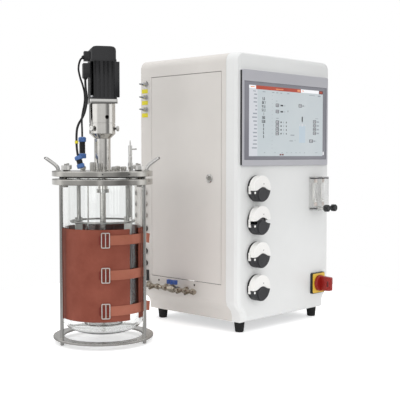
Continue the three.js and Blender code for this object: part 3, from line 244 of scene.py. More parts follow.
# A closed section carried along a path; scale shrinks it point by point along the way
def carriedShape(section, path, up=(0, 0, 1), scale=None, loop=False):
    path = np.asarray(path, float)
    sides, ups = pathFrames(path, up, loop)
    scale = np.ones(len(path)) if scale is None else np.asarray(scale, float)
    section = np.asarray(section, float)
    grid = path[:, None] + scale[:, None, None] * (
        section[None, :, :1] * sides[:, None] + section[None, :, 1:] * ups[:, None])
    points = grid.reshape(-1, 3)
    rows, columns = len(path), len(section)
    faces = [gridQuads(rows, columns, loop, True)]
    if not loop:
        ring = np.arange(columns)[None]
        faces += [ring, ring[:, ::-1] + (rows - 1) * columns]
    return facingOut(points, faces)


def roundSection(radius, sides=16):
    angle = np.linspace(0, 2 * np.pi, sides, endpoint=False)
    return np.stack([radius * np.cos(angle), radius * np.sin(angle)], -1)


def rectOutline(x0, z0, x1, z1, corner=0.0, steps=4):
    return roundedLine([(x0, z0, corner), (x1, z0, corner), (x1, z1, corner), (x0, z1, corner)], True, steps)


def flatSection(width, height, corner):
    return rectOutline(-width / 2, -height / 2, width / 2, height / 2, corner, 3)


# An outline stacked in rings: each ring is (inset, height), the ends closed by a flat face
def stackedShape(outline, rings, axis="z", at=(0, 0, 0)):
    outline = np.asarray(outline, float)
    area = np.sum(outline[:, 0] * np.roll(outline[:, 1], -1) - np.roll(outline[:, 0], -1) * outline[:, 1])
    if area < 0:
        outline = outline[::-1]
    along = np.roll(outline, -1, 0) - outline
    along /= np.maximum(np.linalg.norm(along, axis=1), 1e-9)[:, None]
    normal = np.stack([along[:, 1], -along[:, 0]], -1)
    both = normal + np.roll(normal, 1, 0)
    both /= np.maximum(np.einsum("ij,ij->i", both, normal), 0.35)[:, None]
    rows = [np.column_stack([outline - inset * both, np.full(len(outline), height)]) for inset,
        height in rings]
    flat = np.concatenate(rows)
    count = len(outline)
    ring = np.arange(count)[None]
    faces = [gridQuads(len(rings), count, False, True), ring, ring[:, ::-1] + (len(rings) - 1) * count]
    return facingOut(laidAlong(flat, axis) + np.array(at, float), faces)


# Rings that ease a stacked outline's edge over: a quarter round of the given radius at each end
def easedRings(low, high, edge, steps=3):
    angle = np.linspace(0, np.pi / 2, steps + 1)
    bottom = [(edge * (1 - math.sin(a)), low + edge * (1 - math.cos(a))) for a in angle]
    top = [(inset, high - (height - low)) for inset, height in reversed(bottom)]
    return bottom + top


# A block with eased edges between two corners, stacked along an axis
def blockShape(low, high, edge=0.6, corner=None, axis="z"):
    order = axisOrder[axis]
    lowUV = [low[order[0]], low[order[1]]]
    highUV = [high[order[0]], high[order[1]]]
    outline = rectOutline(*lowUV, *highUV, corner or edge * 1.5)
    return stackedShape(outline, easedRings(low[order[2]], high[order[2]], edge), axis)


# The same shape turned about Z by some degrees
def turnedAbout(shape, degrees):
    return spun(shape[0], math.radians(degrees)), shape[1]


# What every piece ends with: shading, materials (their names in a row), its body and what it stands for
def finishPiece(name, mesh, materials, body, replaces, sharp=32):
    mesh.shade_smooth()
    mesh.set_sharp_from_angle(angle=math.radians(sharp))
    for material in materials.split():
        mesh.materials.append(bpy.data.materials[material])
    piece = bpy.data.objects.new(name, mesh)
    scene.collection.objects.link(piece)
    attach(piece, body)
    if replaces:
        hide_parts(replaces)
    return piece


# One mesh of many shapes. Each entry of shapes is a shape, or (shape, number of its material).
def makePiece(name, shapes, materials, place, body="root", replaces=None, sharp=32, uv=None):
    entries = [entry if isinstance(entry[1], int) else (entry, 0) for entry in shapes]
    points, loops, sizes, kinds, start = [], [], [], [], 0
    for (places, faces), kind in entries:
        points.append(places)
        for face in faces:
            loops.append((face + start).ravel())
            sizes.append(np.full(len(face), face.shape[1]))
            kinds.append(np.full(len(face), kind))
        start += len(places)
    allPoints = place(np.concatenate(points))
    loops, sizes, kinds = np.concatenate(loops), np.concatenate(sizes), np.concatenate(kinds)
    mesh = bpy.data.meshes.new(name)
    mesh.vertices.add(len(allPoints))
    mesh.vertices.foreach_set("co", allPoints.astype(np.float32).ravel())
    mesh.loops.add(len(loops))
    mesh.loops.foreach_set("vertex_index", loops.astype(np.int32))
    mesh.polygons.add(len(sizes))
    mesh.polygons.foreach_set("loop_start", np.concatenate([[0], np.cumsum(sizes)[:-1]]).astype(np.int32))
    mesh.polygons.foreach_set("material_index", kinds.astype(np.int32))
    mesh.update(calc_edges=True)
    mesh.validate()
    if uv is not None:
        layer = mesh.uv_layers.new(name="UVMap")
        layer.data.foreach_set("uv", np.asarray(uv, np.float32)[loops].ravel())
    return finishPiece(name, mesh, materials, body, replaces, sharp)


weldDistance = 2e-6
flatDegrees = 0.4
easedDegrees = 40


# A CAD node's own form with its flat faces joined up, its edges eased and its shading smoothed. keep and
# choose look at face centres in the piece's own millimetres: which faces stay, and their material.
def refined(node, materials, back, edge, body="root", keep=None, choose=None):
    work = bmesh.new()
    work.from_mesh(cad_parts[node].data)
    bmesh.ops.remove_doubles(work, verts=work.verts, dist=weldDistance)
    bmesh.ops.dissolve_limit(
        work, angle_limit=math.radians(flatDegrees), verts=work.verts, edges=work.edges)
    if keep is not None:
        centres = back(np.array([face.calc_center_median() for face in work.faces]))
        gone = [face for face, wanted in zip(list(work.faces), keep(centres)) if not wanted]
        bmesh.ops.delete(work, geom=gone, context="FACES")
        rims = [e for e in work.edges if e.is_boundary]
        bmesh.ops.holes_fill(work, edges=rims, sides=0)
    mesh = bpy.data.meshes.new(node + "_formed")
    work.to_mesh(mesh)
    work.free()
    if choose is not None:
        centres = np.empty(len(mesh.polygons) * 3)
        mesh.polygons.foreach_get("center", centres)
        kinds = choose(back(centres.reshape(-1, 3)))
        mesh.polygons.foreach_set("material_index", np.asarray(kinds, np.int32))
    piece = finishPiece(node + "_formed", mesh, materials, body, node)
    bevel = piece.modifiers.new("easedEdges", "BEVEL")
    bevel.width = edge * 0.001
    bevel.segments = 2
    bevel.limit_method = "ANGLE"
    bevel.angle_limit = math.radians(easedDegrees)
    bevel.harden_normals = False
    return piece


print("stage: materials")


# A node group with named inputs and outputs; build(tree, inputs, outputs) wires it
def effectGroup(name, inputs, outputs, build):
    group = bpy.data.node_groups.new(name, "ShaderNodeTree")
    for label, kind, value in inputs:
        socket = group.interface.new_socket(name=label, in_out="INPUT", socket_type=kind)
        socket.default_value = value
    for label, kind in outputs:
        group.interface.new_socket(name=label, in_out="OUTPUT", socket_type=kind)
    build(group, group.nodes.new("NodeGroupInput").outputs, group.nodes.new("NodeGroupOutput").inputs)
    return group


def addNode(tree, kind, values=None, **settings):
    node = tree.nodes.new(kind)
    for key, value in settings.items():
        setattr(node, key, value)
    for key, value in (values or {}).items():
        node.inputs[key].default_value = value
    return node


# Two colours mixed by a mask; returns the mixed colour's socket
def mixColours(tree, mask, first, second):
    mix = addNode(tree, "ShaderNodeMix", data_type="RGBA", blend_type="MIX")
    for socket, value in ((mix.inputs[0], mask), (mix.inputs[6], first), (mix.inputs[7], second)):
        if isinstance(value, bpy.types.NodeSocket):
            tree.links.new(value, socket)
        else:
            socket.default_value = value
    return mix.outputs[2]


# A value mapped from one range to another; either end of the new range can be a socket
def spread(tree, value, low, high, fromLow=0.0, fromHigh=1.0):
    node = addNode(tree, "ShaderNodeMapRange", {"From Min": fromLow, "From Max": fromHigh})
    for socket, end in ((node.inputs["To Min"], low), (node.inputs["To Max"], high)):
        if isinstance(end, bpy.types.NodeSocket):
            tree.links.new(end, socket)
        else:
            socket.default_value = end
    tree.links.new(value, node.inputs["Value"])
    return node.outputs["Result"]


colour, number, vector = "NodeSocketColor", "NodeSocketFloat", "NodeSocketVector"


# Fine grain over broad soft patches: paint, moulded plastic, rubber
def buildGrain(tree, inputs, outputs):
    place = addNode(tree, "ShaderNodeTexCoord").outputs["Object"]
    fine = addNode(tree, "ShaderNodeTexNoise", {"Detail": 3.0, "Roughness": 0.6})
    broad = addNode(tree, "ShaderNodeTexNoise", {"Scale": 9.0, "Detail": 4.0, "Roughness": 0.55})
    tree.links.new(inputs["Size"], fine.inputs["Scale"])
    for noise in (fine, broad):
        tree.links.new(place, noise.inputs["Vector"])
    patches = spread(tree, broad.outputs[0], 0.0, 1.0, 0.3, 0.7)
    tree.links.new(mixColours(tree, patches, inputs["Tint"], inputs["Second tint"]), outputs["Color"])
    both = addNode(tree, "ShaderNodeMath", operation="ADD")
    half = addNode(tree, "ShaderNodeMath", {1: 0.5}, operation="MULTIPLY")
    tree.links.new(fine.outputs[0], both.inputs[0])
    tree.links.new(broad.outputs[0], both.inputs[1])
    tree.links.new(both.outputs[0], half.inputs[0])
    rough = spread(tree, half.outputs[0], inputs["Smoothest"], inputs["Roughest"], 0.35, 0.65)
    tree.links.new(rough, outputs["Roughness"])
    tree.links.new(fine.outputs[0], outputs["Height"])


grainEffect = effectGroup(
    "grainEffect",
    [("Tint", colour, (0.8, 0.8, 0.8, 1)), ("Second tint", colour, (0.75, 0.75, 0.75, 1)),
     ("Size", number, 900.0), ("Smoothest", number, 0.4), ("Roughest", number, 0.5)],
    [("Color", colour), ("Roughness", number), ("Height", number)], buildGrain)


# Drawn or turned lines on metal: noise squeezed along one direction, with faint smears over it
def buildBrush(tree, inputs, outputs):
    place = addNode(tree, "ShaderNodeTexCoord").outputs["Object"]
    stretch = addNode(tree, "ShaderNodeVectorMath", operation="MULTIPLY")
    tree.links.new(place, stretch.inputs[0])
    tree.links.new(inputs["Lines"], stretch.inputs[1])
    lines = addNode(tree, "ShaderNodeTexNoise", {"Scale": 1.0, "Detail": 5.0, "Roughness": 0.7})
    tree.links.new(stretch.outputs[0], lines.inputs["Vector"])
    smears = addNode(tree, "ShaderNodeTexNoise",
        {"Scale": 26.0, "Detail": 5.0, "Roughness": 0.6, "Distortion": 0.6})
    tree.links.new(place, smears.inputs["Vector"])
    tree.links.new(mixColours(tree, lines.outputs[0], inputs["Tint"], inputs["Second tint"]),
        outputs["Color"])
    both = addNode(tree, "ShaderNodeMath", operation="MULTIPLY")
    tree.links.new(spread(tree, lines.outputs[0], 0.6, 1.4, 0.3, 0.7), both.inputs[0])
    tree.links.new(spread(tree, smears.outputs[0], 0.7, 1.3, 0.3, 0.7), both.inputs[1])
    rough = spread(tree, both.outputs[0], inputs["Smoothest"], inputs["Roughest"], 0.5, 1.6)
    tree.links.new(rough, outputs["Roughness"])
    tree.links.new(lines.outputs[0], outputs["Height"])


brushEffect = effectGroup(
    "brushEffect",
    [("Tint", colour, (0.7, 0.7, 0.7, 1)), ("Second tint", colour, (0.6, 0.6, 0.6, 1)),
     ("Lines", vector, (20.0, 20.0, 900.0)), ("Smoothest", number, 0.1), ("Roughest", number, 0.25)],
    [("Color", colour), ("Roughness", number), ("Height", number)], buildBrush)


# A fine square weave pressed into silicone, with darker rubbed patches
def buildWeave(tree, inputs, outputs):
    place = addNode(tree, "ShaderNodeUVMap", uv_map="UVMap").outputs[0]
    heights = []
    for direction in ("X", "Y"):
        wave = addNode(tree, "ShaderNodeTexWave", {"Distortion": 0.0}, wave_type="BANDS",
            bands_direction=direction)
        tree.links.new(place, wave.inputs["Vector"])
        tree.links.new(inputs["Threads"], wave.inputs["Scale"])
        heights.append(wave.outputs["Fac"])
    weave = addNode(tree, "ShaderNodeMath", operation="MAXIMUM")
    tree.links.new(heights[0], weave.inputs[0])
    tree.links.new(heights[1], weave.inputs[1])
    patches = addNode(tree, "ShaderNodeTexNoise", {"Scale": 14.0, "Detail": 6.0, "Roughness": 0.6})
    tree.links.new(addNode(tree, "ShaderNodeTexCoord").outputs["Object"], patches.inputs["Vector"])
    mask = spread(tree, patches.outputs[0], 0.0, 1.0, 0.35, 0.68)
    tree.links.new(mixColours(tree, mask, inputs["Tint"], inputs["Second tint"]), outputs["Color"])
    tree.links.new(spread(tree, patches.outputs[0], 0.62, 0.8, 0.3, 0.7), outputs["Roughness"])
    tree.links.new(weave.outputs[0], outputs["Height"])


weaveEffect = effectGroup(
    "weaveEffect",
    [("Tint", colour, (0.3, 0.1, 0.06, 1)), ("Second tint", colour, (0.25, 0.08, 0.05, 1)),
     ("Threads", number, 30.0)],
    [("Color", colour), ("Roughness", number), ("Height", number)], buildWeave)


# sRGB 0-255 to the linear colour that nodes take
def tint(red, green, blue):
    values = np.array([red, green, blue]) / 255
    linear = np.where(values <= 0.04045, values / 12.92, ((values + 0.055) / 1.055) ** 2.4)
    return (*(float(v) for v in linear), 1.0)


# A material: one effect group feeding colour, roughness and a bump, the rest set on the shader itself
def newFinish(name, effect, effectValues, bump, bumpDistance, **shaderValues):
    material = bpy.data.materials.new(name)
    material.use_nodes = True
    tree = material.node_tree
    shader = tree.nodes["Principled BSDF"]
    group = addNode(tree, "ShaderNodeGroup", node_tree=effect)
    for key, value in effectValues.items():
        group.inputs[key].default_value = value
    tree.links.new(group.outputs["Color"], shader.inputs["Base Color"])
    tree.links.new(group.outputs["Roughness"], shader.inputs["Roughness"])
    if bump > 0:
        relief = addNode(tree, "ShaderNodeBump", {"Strength": bump, "Distance": bumpDistance})
        tree.links.new(group.outputs["Height"], relief.inputs["Height"])
        tree.links.new(relief.outputs[0], shader.inputs["Normal"])
    for key, value in shaderValues.items():
        shader.inputs[key.replace("_", " ")].default_value = value
    return material


def grainFinish(name, first, second, rough, size, bump, distance=0.0002, **shaderValues):
    values = {"Tint": first, "Second tint": second, "Size": size, "Smoothest": rough[0], "Roughest": rough[1]}
    return newFinish(name, grainEffect, values, bump, distance, **shaderValues)


def metalFinish(name, first, second, rough, lines, bump=0.05):
    values = {"Tint": first, "Second tint": second, "Lines": lines, "Smoothest": rough[0],
        "Roughest": rough[1]}
    return newFinish(name, brushEffect, values, bump, 0.0001, Metallic=1.0)


shaderExtras = {
    "sidePaint": {"Specular_IOR_Level": 0.45}, "frontPaint": {"Specular_IOR_Level": 0.5},
    "whiteMoulding": {"Coat_Weight": 0.2}, "buckleNickel": {"Metallic": 0.4},
}
# Each row has two tints, roughness from and to, the grain's size, and the bump's strength and distance
for name, first, second, *surface in (
        # The side paint, used on the shell, back panel and door, is darker than the front paint partly as
        # painted shade for the lesser light on those faces; its warmer hue is the paint's own
        ("sidePaint", (217, 213, 208), (213, 209, 204), (0.42, 0.52), 700, 0.12, 0.0003),
        ("frontPaint", (228, 229, 228), (225, 226, 225), (0.36, 0.46), 700, 0.1, 0.0003),
        ("displayFrame", (182, 182, 187), (177, 177, 183), (0.4, 0.5), 1500, 0.1),
        ("displayInnerFrame", (128, 128, 136), (122, 122, 130), (0.2, 0.28), 1200, 0.02),
        ("isolatorYellow", (226, 188, 66), (220, 180, 58), (0.35, 0.45), 1200, 0.05),
        ("isolatorRed", (150, 30, 24), (140, 26, 20), (0.3, 0.4), 1200, 0.05),
        ("blackMoulding", (28, 28, 30), (23, 23, 25), (0.42, 0.55), 1800, 0.25),
        ("greyMoulding", (51, 51, 54), (46, 46, 49), (0.45, 0.58), 1800, 0.25),
        ("whiteMoulding", (240, 239, 236), (235, 234, 231), (0.25, 0.34), 1200, 0.04),
        ("rotorPlastic", (70, 70, 72), (60, 60, 62), (0.35, 0.5), 1400, 0.08),
        ("blueMoulding", (56, 88, 158), (48, 78, 146), (0.35, 0.48), 1500, 0.1),
        ("connectorBlue", (84, 122, 184), (74, 112, 174), (0.32, 0.45), 1500, 0.1),
        ("rubberBlack", (24, 24, 25), (30, 30, 31), (0.6, 0.78), 1100, 0.2, 0.0003),
        ("cableJacket", (20, 20, 22), (27, 27, 29), (0.42, 0.55), 1400, 0.12),
        ("glossBlack", (29, 29, 31), (23, 24, 26), (0.2, 0.3), 1300, 0.08, 0.0001),
        ("labelYellow", (226, 214, 30), (220, 206, 24), (0.3, 0.4), 900, 0.03),
        ("buckleNickel", (206, 199, 194), (196, 190, 185), (0.25, 0.35), 1500, 0.05),
        ("meterMoulding", (206, 196, 190), (196, 186, 180), (0.4, 0.5), 1500, 0.05)):
    grainFinish(name, tint(*first), tint(*second), *surface, **shaderExtras.get(name, {}))

# Each row has two tints, roughness from and to, the lines' density along X, Y and Z, and the bump
for name, first, second, *surface in (
        ("galvanisedSheet", (178, 182, 184), (158, 162, 166), (0.35, 0.55), (60, 60, 60)),
        ("turnedSteel", (206, 204, 200), (192, 190, 186), (0.18, 0.28), (14, 14, 1400), 0.02),
        ("groundSteel", (216, 214, 210), (206, 204, 200), (0.1, 0.18), (60, 60, 60), 0),
        ("rimSteel", (196, 194, 189), (184, 182, 177), (0.09, 0.16), (60, 60, 60), 0),
        ("drawnSteel", (208, 207, 204), (192, 191, 188), (0.1, 0.2), (1400, 1400, 14), 0.02),
        ("polishedSteel", (222, 221, 218), (208, 207, 204), (0.05, 0.14), (60, 60, 60)),
        ("nickelFitting", (192, 183, 168), (160, 151, 137), (0.2, 0.36), (300, 300, 300), 0.1),
        ("brightZinc", (205, 206, 208), (184, 185, 188), (0.18, 0.32), (200, 200, 200)),
        ("cageSteel", (176, 175, 172), (162, 161, 158), (0.3, 0.4), (1400, 1400, 14), 0.02),
        ("darkSteel", (96, 94, 92), (78, 76, 74), (0.3, 0.45), (200, 200, 200))):
    metalFinish(name, tint(*first), tint(*second), *surface)

# Each row has two tints, the weave's threads, and the bump's strength
for name, first, second, threads, bump in (
        ("heaterSilicone", (137, 74, 58), (122, 62, 48), 380, 0.3),
        ("strapSilicone", (162, 98, 79), (148, 87, 68), 340, 0.35),
        ("strapRoot", (122, 50, 40), (104, 42, 34), 340, 0.3)):
    newFinish(
        name, weaveEffect, {"Tint": tint(*first), "Second tint": tint(*second), "Threads": threads},
        bump, 0.00025, Specular_IOR_Level=0.3)


# Clear solids: a faint tint and fine variation in how polished the surface is
def clearFinish(name, colourOf, rough, ior, clear=1.0, coat=0.0):
    return grainFinish(
        name, colourOf, colourOf, rough, 60.0, 0.0, IOR=ior, Transmission_Weight=clear, Coat_Weight=coat)


clearFinish("jarGlass", (0.975, 0.985, 0.98, 1), (0.0, 0.02), 1.47)
clearFinish("clearAcrylic", (0.99, 0.99, 0.985, 1), (0.02, 0.05), 1.06, 0.94, 0.3)


# A surface that also glows in its own colours, as a lit display does
def litFinish(name, first, second, glow):
    material = grainFinish(name, first, second, (0.12, 0.2), 90.0, 0.0)
    tree = material.node_tree
    shader = tree.nodes["Principled BSDF"]
    group = next(node for node in tree.nodes if node.type == "GROUP")
    tree.links.new(group.outputs["Color"], shader.inputs["Emission Color"])
    shader.inputs["Emission Strength"].default_value = glow


# Turns a shape drawn up the Z axis so that it runs from start towards end
def alongLine(shape, start, end):
    start, end = np.array(start, float), np.array(end, float)
    direction = (end - start) / np.linalg.norm(end - start)
    side = np.cross(direction, (0.3, -0.9, 0.1))
    side /= np.linalg.norm(side)
    basis = np.stack([side, np.cross(direction, side), direction])
    return shape[0] @ basis + start, shape[1]


# Cuts shapes out of a piece with Boolean modifiers, which are then applied with any others that it has
def carve(piece, cutters, material, place):
    tools = []
    for i, cutter in enumerate(cutters):
        tool = makePiece(f"{piece.name}_cutter{i}", [cutter], material, place)
        modifier = piece.modifiers.new("carve", "BOOLEAN")
        modifier.operation, modifier.solver, modifier.object = "DIFFERENCE", "EXACT", tool
        tools.append(tool)
    bpy.context.view_layer.update()
    carved = bpy.data.meshes.new_from_object(piece.evaluated_get(bpy.context.evaluated_depsgraph_get()))
    piece.modifiers.clear()
    for tool in tools:
        bpy.data.objects.remove(tool)
    carved.name = piece.name
    piece.data = carved
    carved.shade_smooth()
    carved.set_sharp_from_angle(angle=math.radians(32))


# One mesh of a shape less some cutting shapes
def carvedPiece(name, shape, cutters, material, place, body="root", replaces=None):
    piece = makePiece(name, [shape], material, place, body, replaces)
    carve(piece, cutters, material, place)


print("stage: motor cables")
encoderLead = {
    "radius": 2.5,
    "points": [
        (-48.2, -5, 742.5), (-53.5, -5, 739.5), (-58.5, -5, 729), (-60.2, -5, 720), (-60.5, -5, 711),
        (-56.5, -5, 691), (-50, -5, 671), (-46, -5, 653), (-45, -5, 635), (-47, -5, 618), (-50, -5, 604),
        (-52.6, -5, 588), (-53, -5, 574), (-52.5, -5, 556), (-52.3, -5, 537.5)],
}
powerLead = {
    "radius": 3.0,
    "points": [
        (-43, -15, 689.5), (-43, -15, 677), (-42, -16, 660), (-40, -17, 644), (-40, -18, 628),
        (-42.5, -18, 612), (-46.5, -18, 597), (-53.5, -18, 583), (-60.5, -19, 571), (-64.8, -21, 558),
        (-66.3, -23, 543), (-66.5, -25, 527), (-66, -27, 511), (-64.5, -29, 497), (-63.2, -30, 488.5)],
    "tag": (519, 528, 4.4),
}
inlinePlug = {"nutRadius": 10, "bodyRadius": 8, "ribs": 18, "ribDepth": 0.7, "ringPitch": 3.2}


# A cable jacket, its ends plain because both are hidden in fittings
def motorLead(name, lead, node):
    route = smoothPath(lead["points"], 120)
    piece = makePiece(
        name, [carriedShape(roundSection(lead["radius"], 20), route)], "cableJacket", onVessel,
        replaces=node)


# Two ribbed blue nuts on a ringed black sleeve, from the cable's end downwards
def inlineConnector(name, start, end, nut, node):
    length = float(np.linalg.norm(np.array(end, float) - np.array(start, float)))
    radius, sleeve = inlinePlug["nutRadius"], inlinePlug["bodyRadius"]
    ripple = (inlinePlug["ribs"], inlinePlug["ribDepth"])
    first = turnedShape(
        [(0, 0), (radius - 3.5, 0, 0.6), (radius, 2.2, 0.8), (radius, nut - 1, 0.8), (sleeve, nut, 0.3),
            (0, nut)], segments=90, ripple=ripple)
    last = turnedShape(
        [(0, length - nut), (sleeve, length - nut, 0.3), (radius, length - nut + 1, 0.8),
         (radius, length - 1.4, 0.8), (radius - 1.6, length, 0.5), (0, length)], segments=90, ripple=ripple)
    rows = np.arange(nut - 0.6, length - nut + 0.7, inlinePlug["ringPitch"] / 2)
    rings = [(sleeve - (0.7 if i % 2 else 0.0), z, 0.4) for i, z in enumerate(rows)]
    waist = [(0, rows[0]), *rings, (0, rows[-1])]
    shapes = [(alongLine(first, start, end), 0), (alongLine(last, start, end), 0),
              (alongLine(turnedShape(waist, segments=40), start, end), 1)]
    return makePiece(name, shapes, "connectorBlue blackMoulding", onVessel,
        replaces=node)


encoderPlug = inlineConnector("encoderPlug", (-52.3, -5, 537.2), (-52.3, -5, 481.2), 13, "encoder_connector")
powerPlug = inlineConnector("powerPlug", (-63, -30.2, 487.9), (-54.4, -33.4, 456.5), 11, "power_connector")
powerRoute = smoothPath(powerLead["points"], 120)
tagLow, tagHigh, tagRadius = powerLead["tag"]
tagSpan = powerRoute[(powerRoute[:, 2] > tagLow) & (powerRoute[:, 2] < tagHigh)]
powerTag = makePiece(
    "cableTag", [carriedShape(roundSection(tagRadius, 20), tagSpan[:: max(1, len(tagSpan) // 4)])],
    "labelYellow", onVessel)
motorLead("encoderLead", encoderLead, "encoder_cable")
motorLead("powerLead", powerLead, "power_cable")

print("stage: jar, stand and head plate")
jarForm = {
    "radius": 104.5, "wall": 4.5, "bottom": 21, "dish": 57, "rimRadius": 113, "rimBottom": 428.8,
    "rimTop": 432,
}


# The jar turned whole: a dished bottom whose depth falls with the sine of the angle, a plain wall and a
# rim rolled out at the top, followed back down the inside at the wall's thickness
def jarShape():
    form = jarForm
    angle = np.linspace(0, np.pi / 2, 24)
    inner = form["radius"] - form["wall"]
    depth = form["dish"] - form["bottom"]
    outside = [(form["radius"] * math.sin(a), form["dish"] - depth * math.cos(a)) for a in angle]
    inside = [(inner * math.sin(a), form["dish"] - (depth - form["wall"]) * math.cos(a)) for a in angle]
    outside[0], inside[0] = (0, form["bottom"]), (0, form["bottom"] + form["wall"])
    rim = [(form["radius"], form["rimBottom"], 3.0), (form["rimRadius"], form["rimBottom"], 1.3),
           (form["rimRadius"], form["rimTop"], 1.3), (inner, form["rimTop"], 1.8)]
    return turnedShape(outside + rim + inside[::-1], segments=160)


makePiece("jar", [jarShape()], "jarGlass", onVessel, replaces="glass_jar", sharp=60)
makePiece(
    "jarSeal", [band(100.6, 113, 432.3, 434.7, (0.5, 1.1, 1.1, 0.5), segments=128)],
    "rubberBlack", onVessel, replaces="jar_gasket")

standForm = {
    "ringInner": 103, "ringOuter": 131.4, "ringLow": 12, "ringHigh": 17.7, "rodRadius": 5, "rodCircle": 118,
    "rodAngles": (-64, 64, 180), "rodTop": 413.3, "flangeBore": 106.5, "flangeOuter": 131.4,
    "flangeLow": 413.6,
    "flangeHigh": 428.5, "studCircle": 118, "studAngles": (-52, 52, 128, -128), "studRadius": 4,
    "studTop": 468,
}
f = standForm
makePiece(
    "standRing",
    [band(f["ringInner"], f["ringOuter"], f["ringLow"], f["ringHigh"], (0.8, 0.8, 1.1, 1.1), segments=160)],
    "turnedSteel", onVessel, replaces="base_ring")

for i, angle in enumerate(standForm["rodAngles"], 1):
    x, y, _ = around(standForm["rodCircle"], angle)
    r = standForm["rodRadius"]
    rod = turnedShape(
        [(0, 0), (r - 0.4, 0, 0.7), (r, 1.4, 0.5), (r, 8.6, 0.3), (r - 1, 9.2, 0.3), (r - 1, 10.4, 0.3),
         (r, 11, 0.3), (r, standForm["rodTop"] - 0.6, 0.3), (r - 0.6, standForm["rodTop"]),
         (0, standForm["rodTop"])], at=(x, y, 0), segments=40)
    makePiece(f"standRod{i}", [rod], "drawnSteel", onVessel, replaces=f"stand_rod_{i}")


# A screw thread's look: radius stepping in and out by its pitch, over a plain core
def threadProfile(radius, low, high, pitch=1.25, depth=0.45):
    heights = np.arange(low, high, pitch / 2)
    return [(0, low)] + [(radius - (depth if i % 2 else 0), z) for i, z in enumerate(heights)] + [
        (radius - depth, high), (0, high)]


flangeShapes = [band(f["flangeBore"], f["flangeOuter"], f["flangeLow"], f["flangeHigh"],
    (0.8, 1.4, 1.6, 0.8), segments=160)]
for angle in f["studAngles"]:
    x, y, _ = around(f["studCircle"], angle)
    flangeShapes.append(turnedShape(
        threadProfile(f["studRadius"], f["flangeHigh"] - 1, f["studTop"]), at=(x, y, 0), segments=28))
    flangeShapes.append(turnedShape(
        [(0, 408.6), (6.4, 408.6, 0.4), (7.6, 409.6), (7.6, 414.2), (0, 414.2)], at=(x, y, 0), segments=60,
        flats=(6, 6.5)))
makePiece("standFlange", flangeShapes, "rimSteel", onVessel, replaces="stand_flange")

plateForm = {
    "radius": 131.4, "low": 435, "high": 449, "bore": 13, "capKnurls": 20, "rimScrews": (0, 30),
    "ports": [(-24, -66, 8.5, 23), (-6, -44, 7.5, 21), (30, -60, 8, 12), (54, -44, 8, 12), (40, 56, 8, 12),
              (-52, 44, 8, 12)],
}


# A welded port, its knurled cap and a small crown on the cap
def portShapes(x, y, radius, height):
    top = plateForm["high"]
    ferrule = turnedShape(
        [(0, top - 1), (radius - 0.6, top - 1), (radius - 0.6, top + 1.4, 0.4),
            (radius - 1.8, top + 2.2, 0.3),
         (radius - 1.8, top + 3.6), (0, top + 3.6)], at=(x, y, 0), segments=48)
    cap = turnedShape(
        [(0, top + 3), (radius - 0.8, top + 3, 0.3), (radius, top + 3.8, 0.4),
            (radius, top + height - 1.8, 1.2), (radius - 2.6, top + height - 0.4, 0.8), (0, top + height)],
        at=(x, y, 0), segments=120, ripple=(plateForm["capKnurls"], 0.5))
    return [ferrule, cap]


f = plateForm
plateShapes = [band(f["bore"], f["radius"], f["low"], f["high"], (0.4, 1.2, 1.8, 0.6), segments=160)]
for port in f["ports"]:
    plateShapes += portShapes(*port)
for side in (-1, 1):
    for end in (-1, 1):
        plateShapes.append(turnedShape(
            [(4.2, 448.6), (6.6, 448.6, 0.3), (6.6, 450.4, 0.7), (4.2, 451.2, 0.3)], closed=True,
            at=(side * 116, end * 33, 0), segments=40))
plateShapes.append(turnedShape(
    [(21.6, 448.6), (28, 448.6, 0.3), (28, 451.6, 1.0), (21.6, 452.6, 0.4)], closed=True, segments=96))
# headless screws set into the plate's rim: each socket is a black disc in a narrow bright ring, painted shade
# standing for its recess
rimHeight = (f["low"] + f["high"]) / 2
for angle in f["rimScrews"]:
    socket = post(1.7, -1, 0.12, segments=28)
    plateShapes.append((alongLine(socket, around(f["radius"], angle, rimHeight),
                                  around(f["radius"] + 9, angle, rimHeight)), 1))
makePiece("headPlate", plateShapes, "rimSteel blackMoulding", onVessel,
    replaces="head_plate")

# Clamp nuts: an eight-sided head over a dark square neck
nutForm = {"radius": 11.4, "flats": 10.6, "neck": 6.2, "bore": 4.5, "bottom": 449.3, "neckTop": 451.8,
    "top": 464.0}
for i, angle in enumerate(standForm["studAngles"], 1):
    f = nutForm
    spot = around(standForm["studCircle"], angle)
    neck = band(f["bore"], f["neck"] * 1.4, f["bottom"], f["neckTop"] + 0.2, at=spot, segments=64,
        flats=(4, f["neck"]))
    head = turnedShape(
        [(f["bore"], f["neckTop"]), (f["radius"] - 1.6, f["neckTop"], 0.3),
            (f["radius"], f["neckTop"] + 1.2, 0.4),
         (f["radius"], f["top"] - 1.4, 0.6), (f["radius"] - 1.8, f["top"], 0.5), (f["bore"], f["top"])],
        at=spot, segments=96, closed=True, flats=(8, f["flats"]), phase=math.radians(angle))
    makePiece(
        f"clampNut{i}", [(head, 0), (neck, 1)], "polishedSteel darkSteel", onVessel, body=f"nut_{i}",
        replaces=f"clamp_nut_{i}")

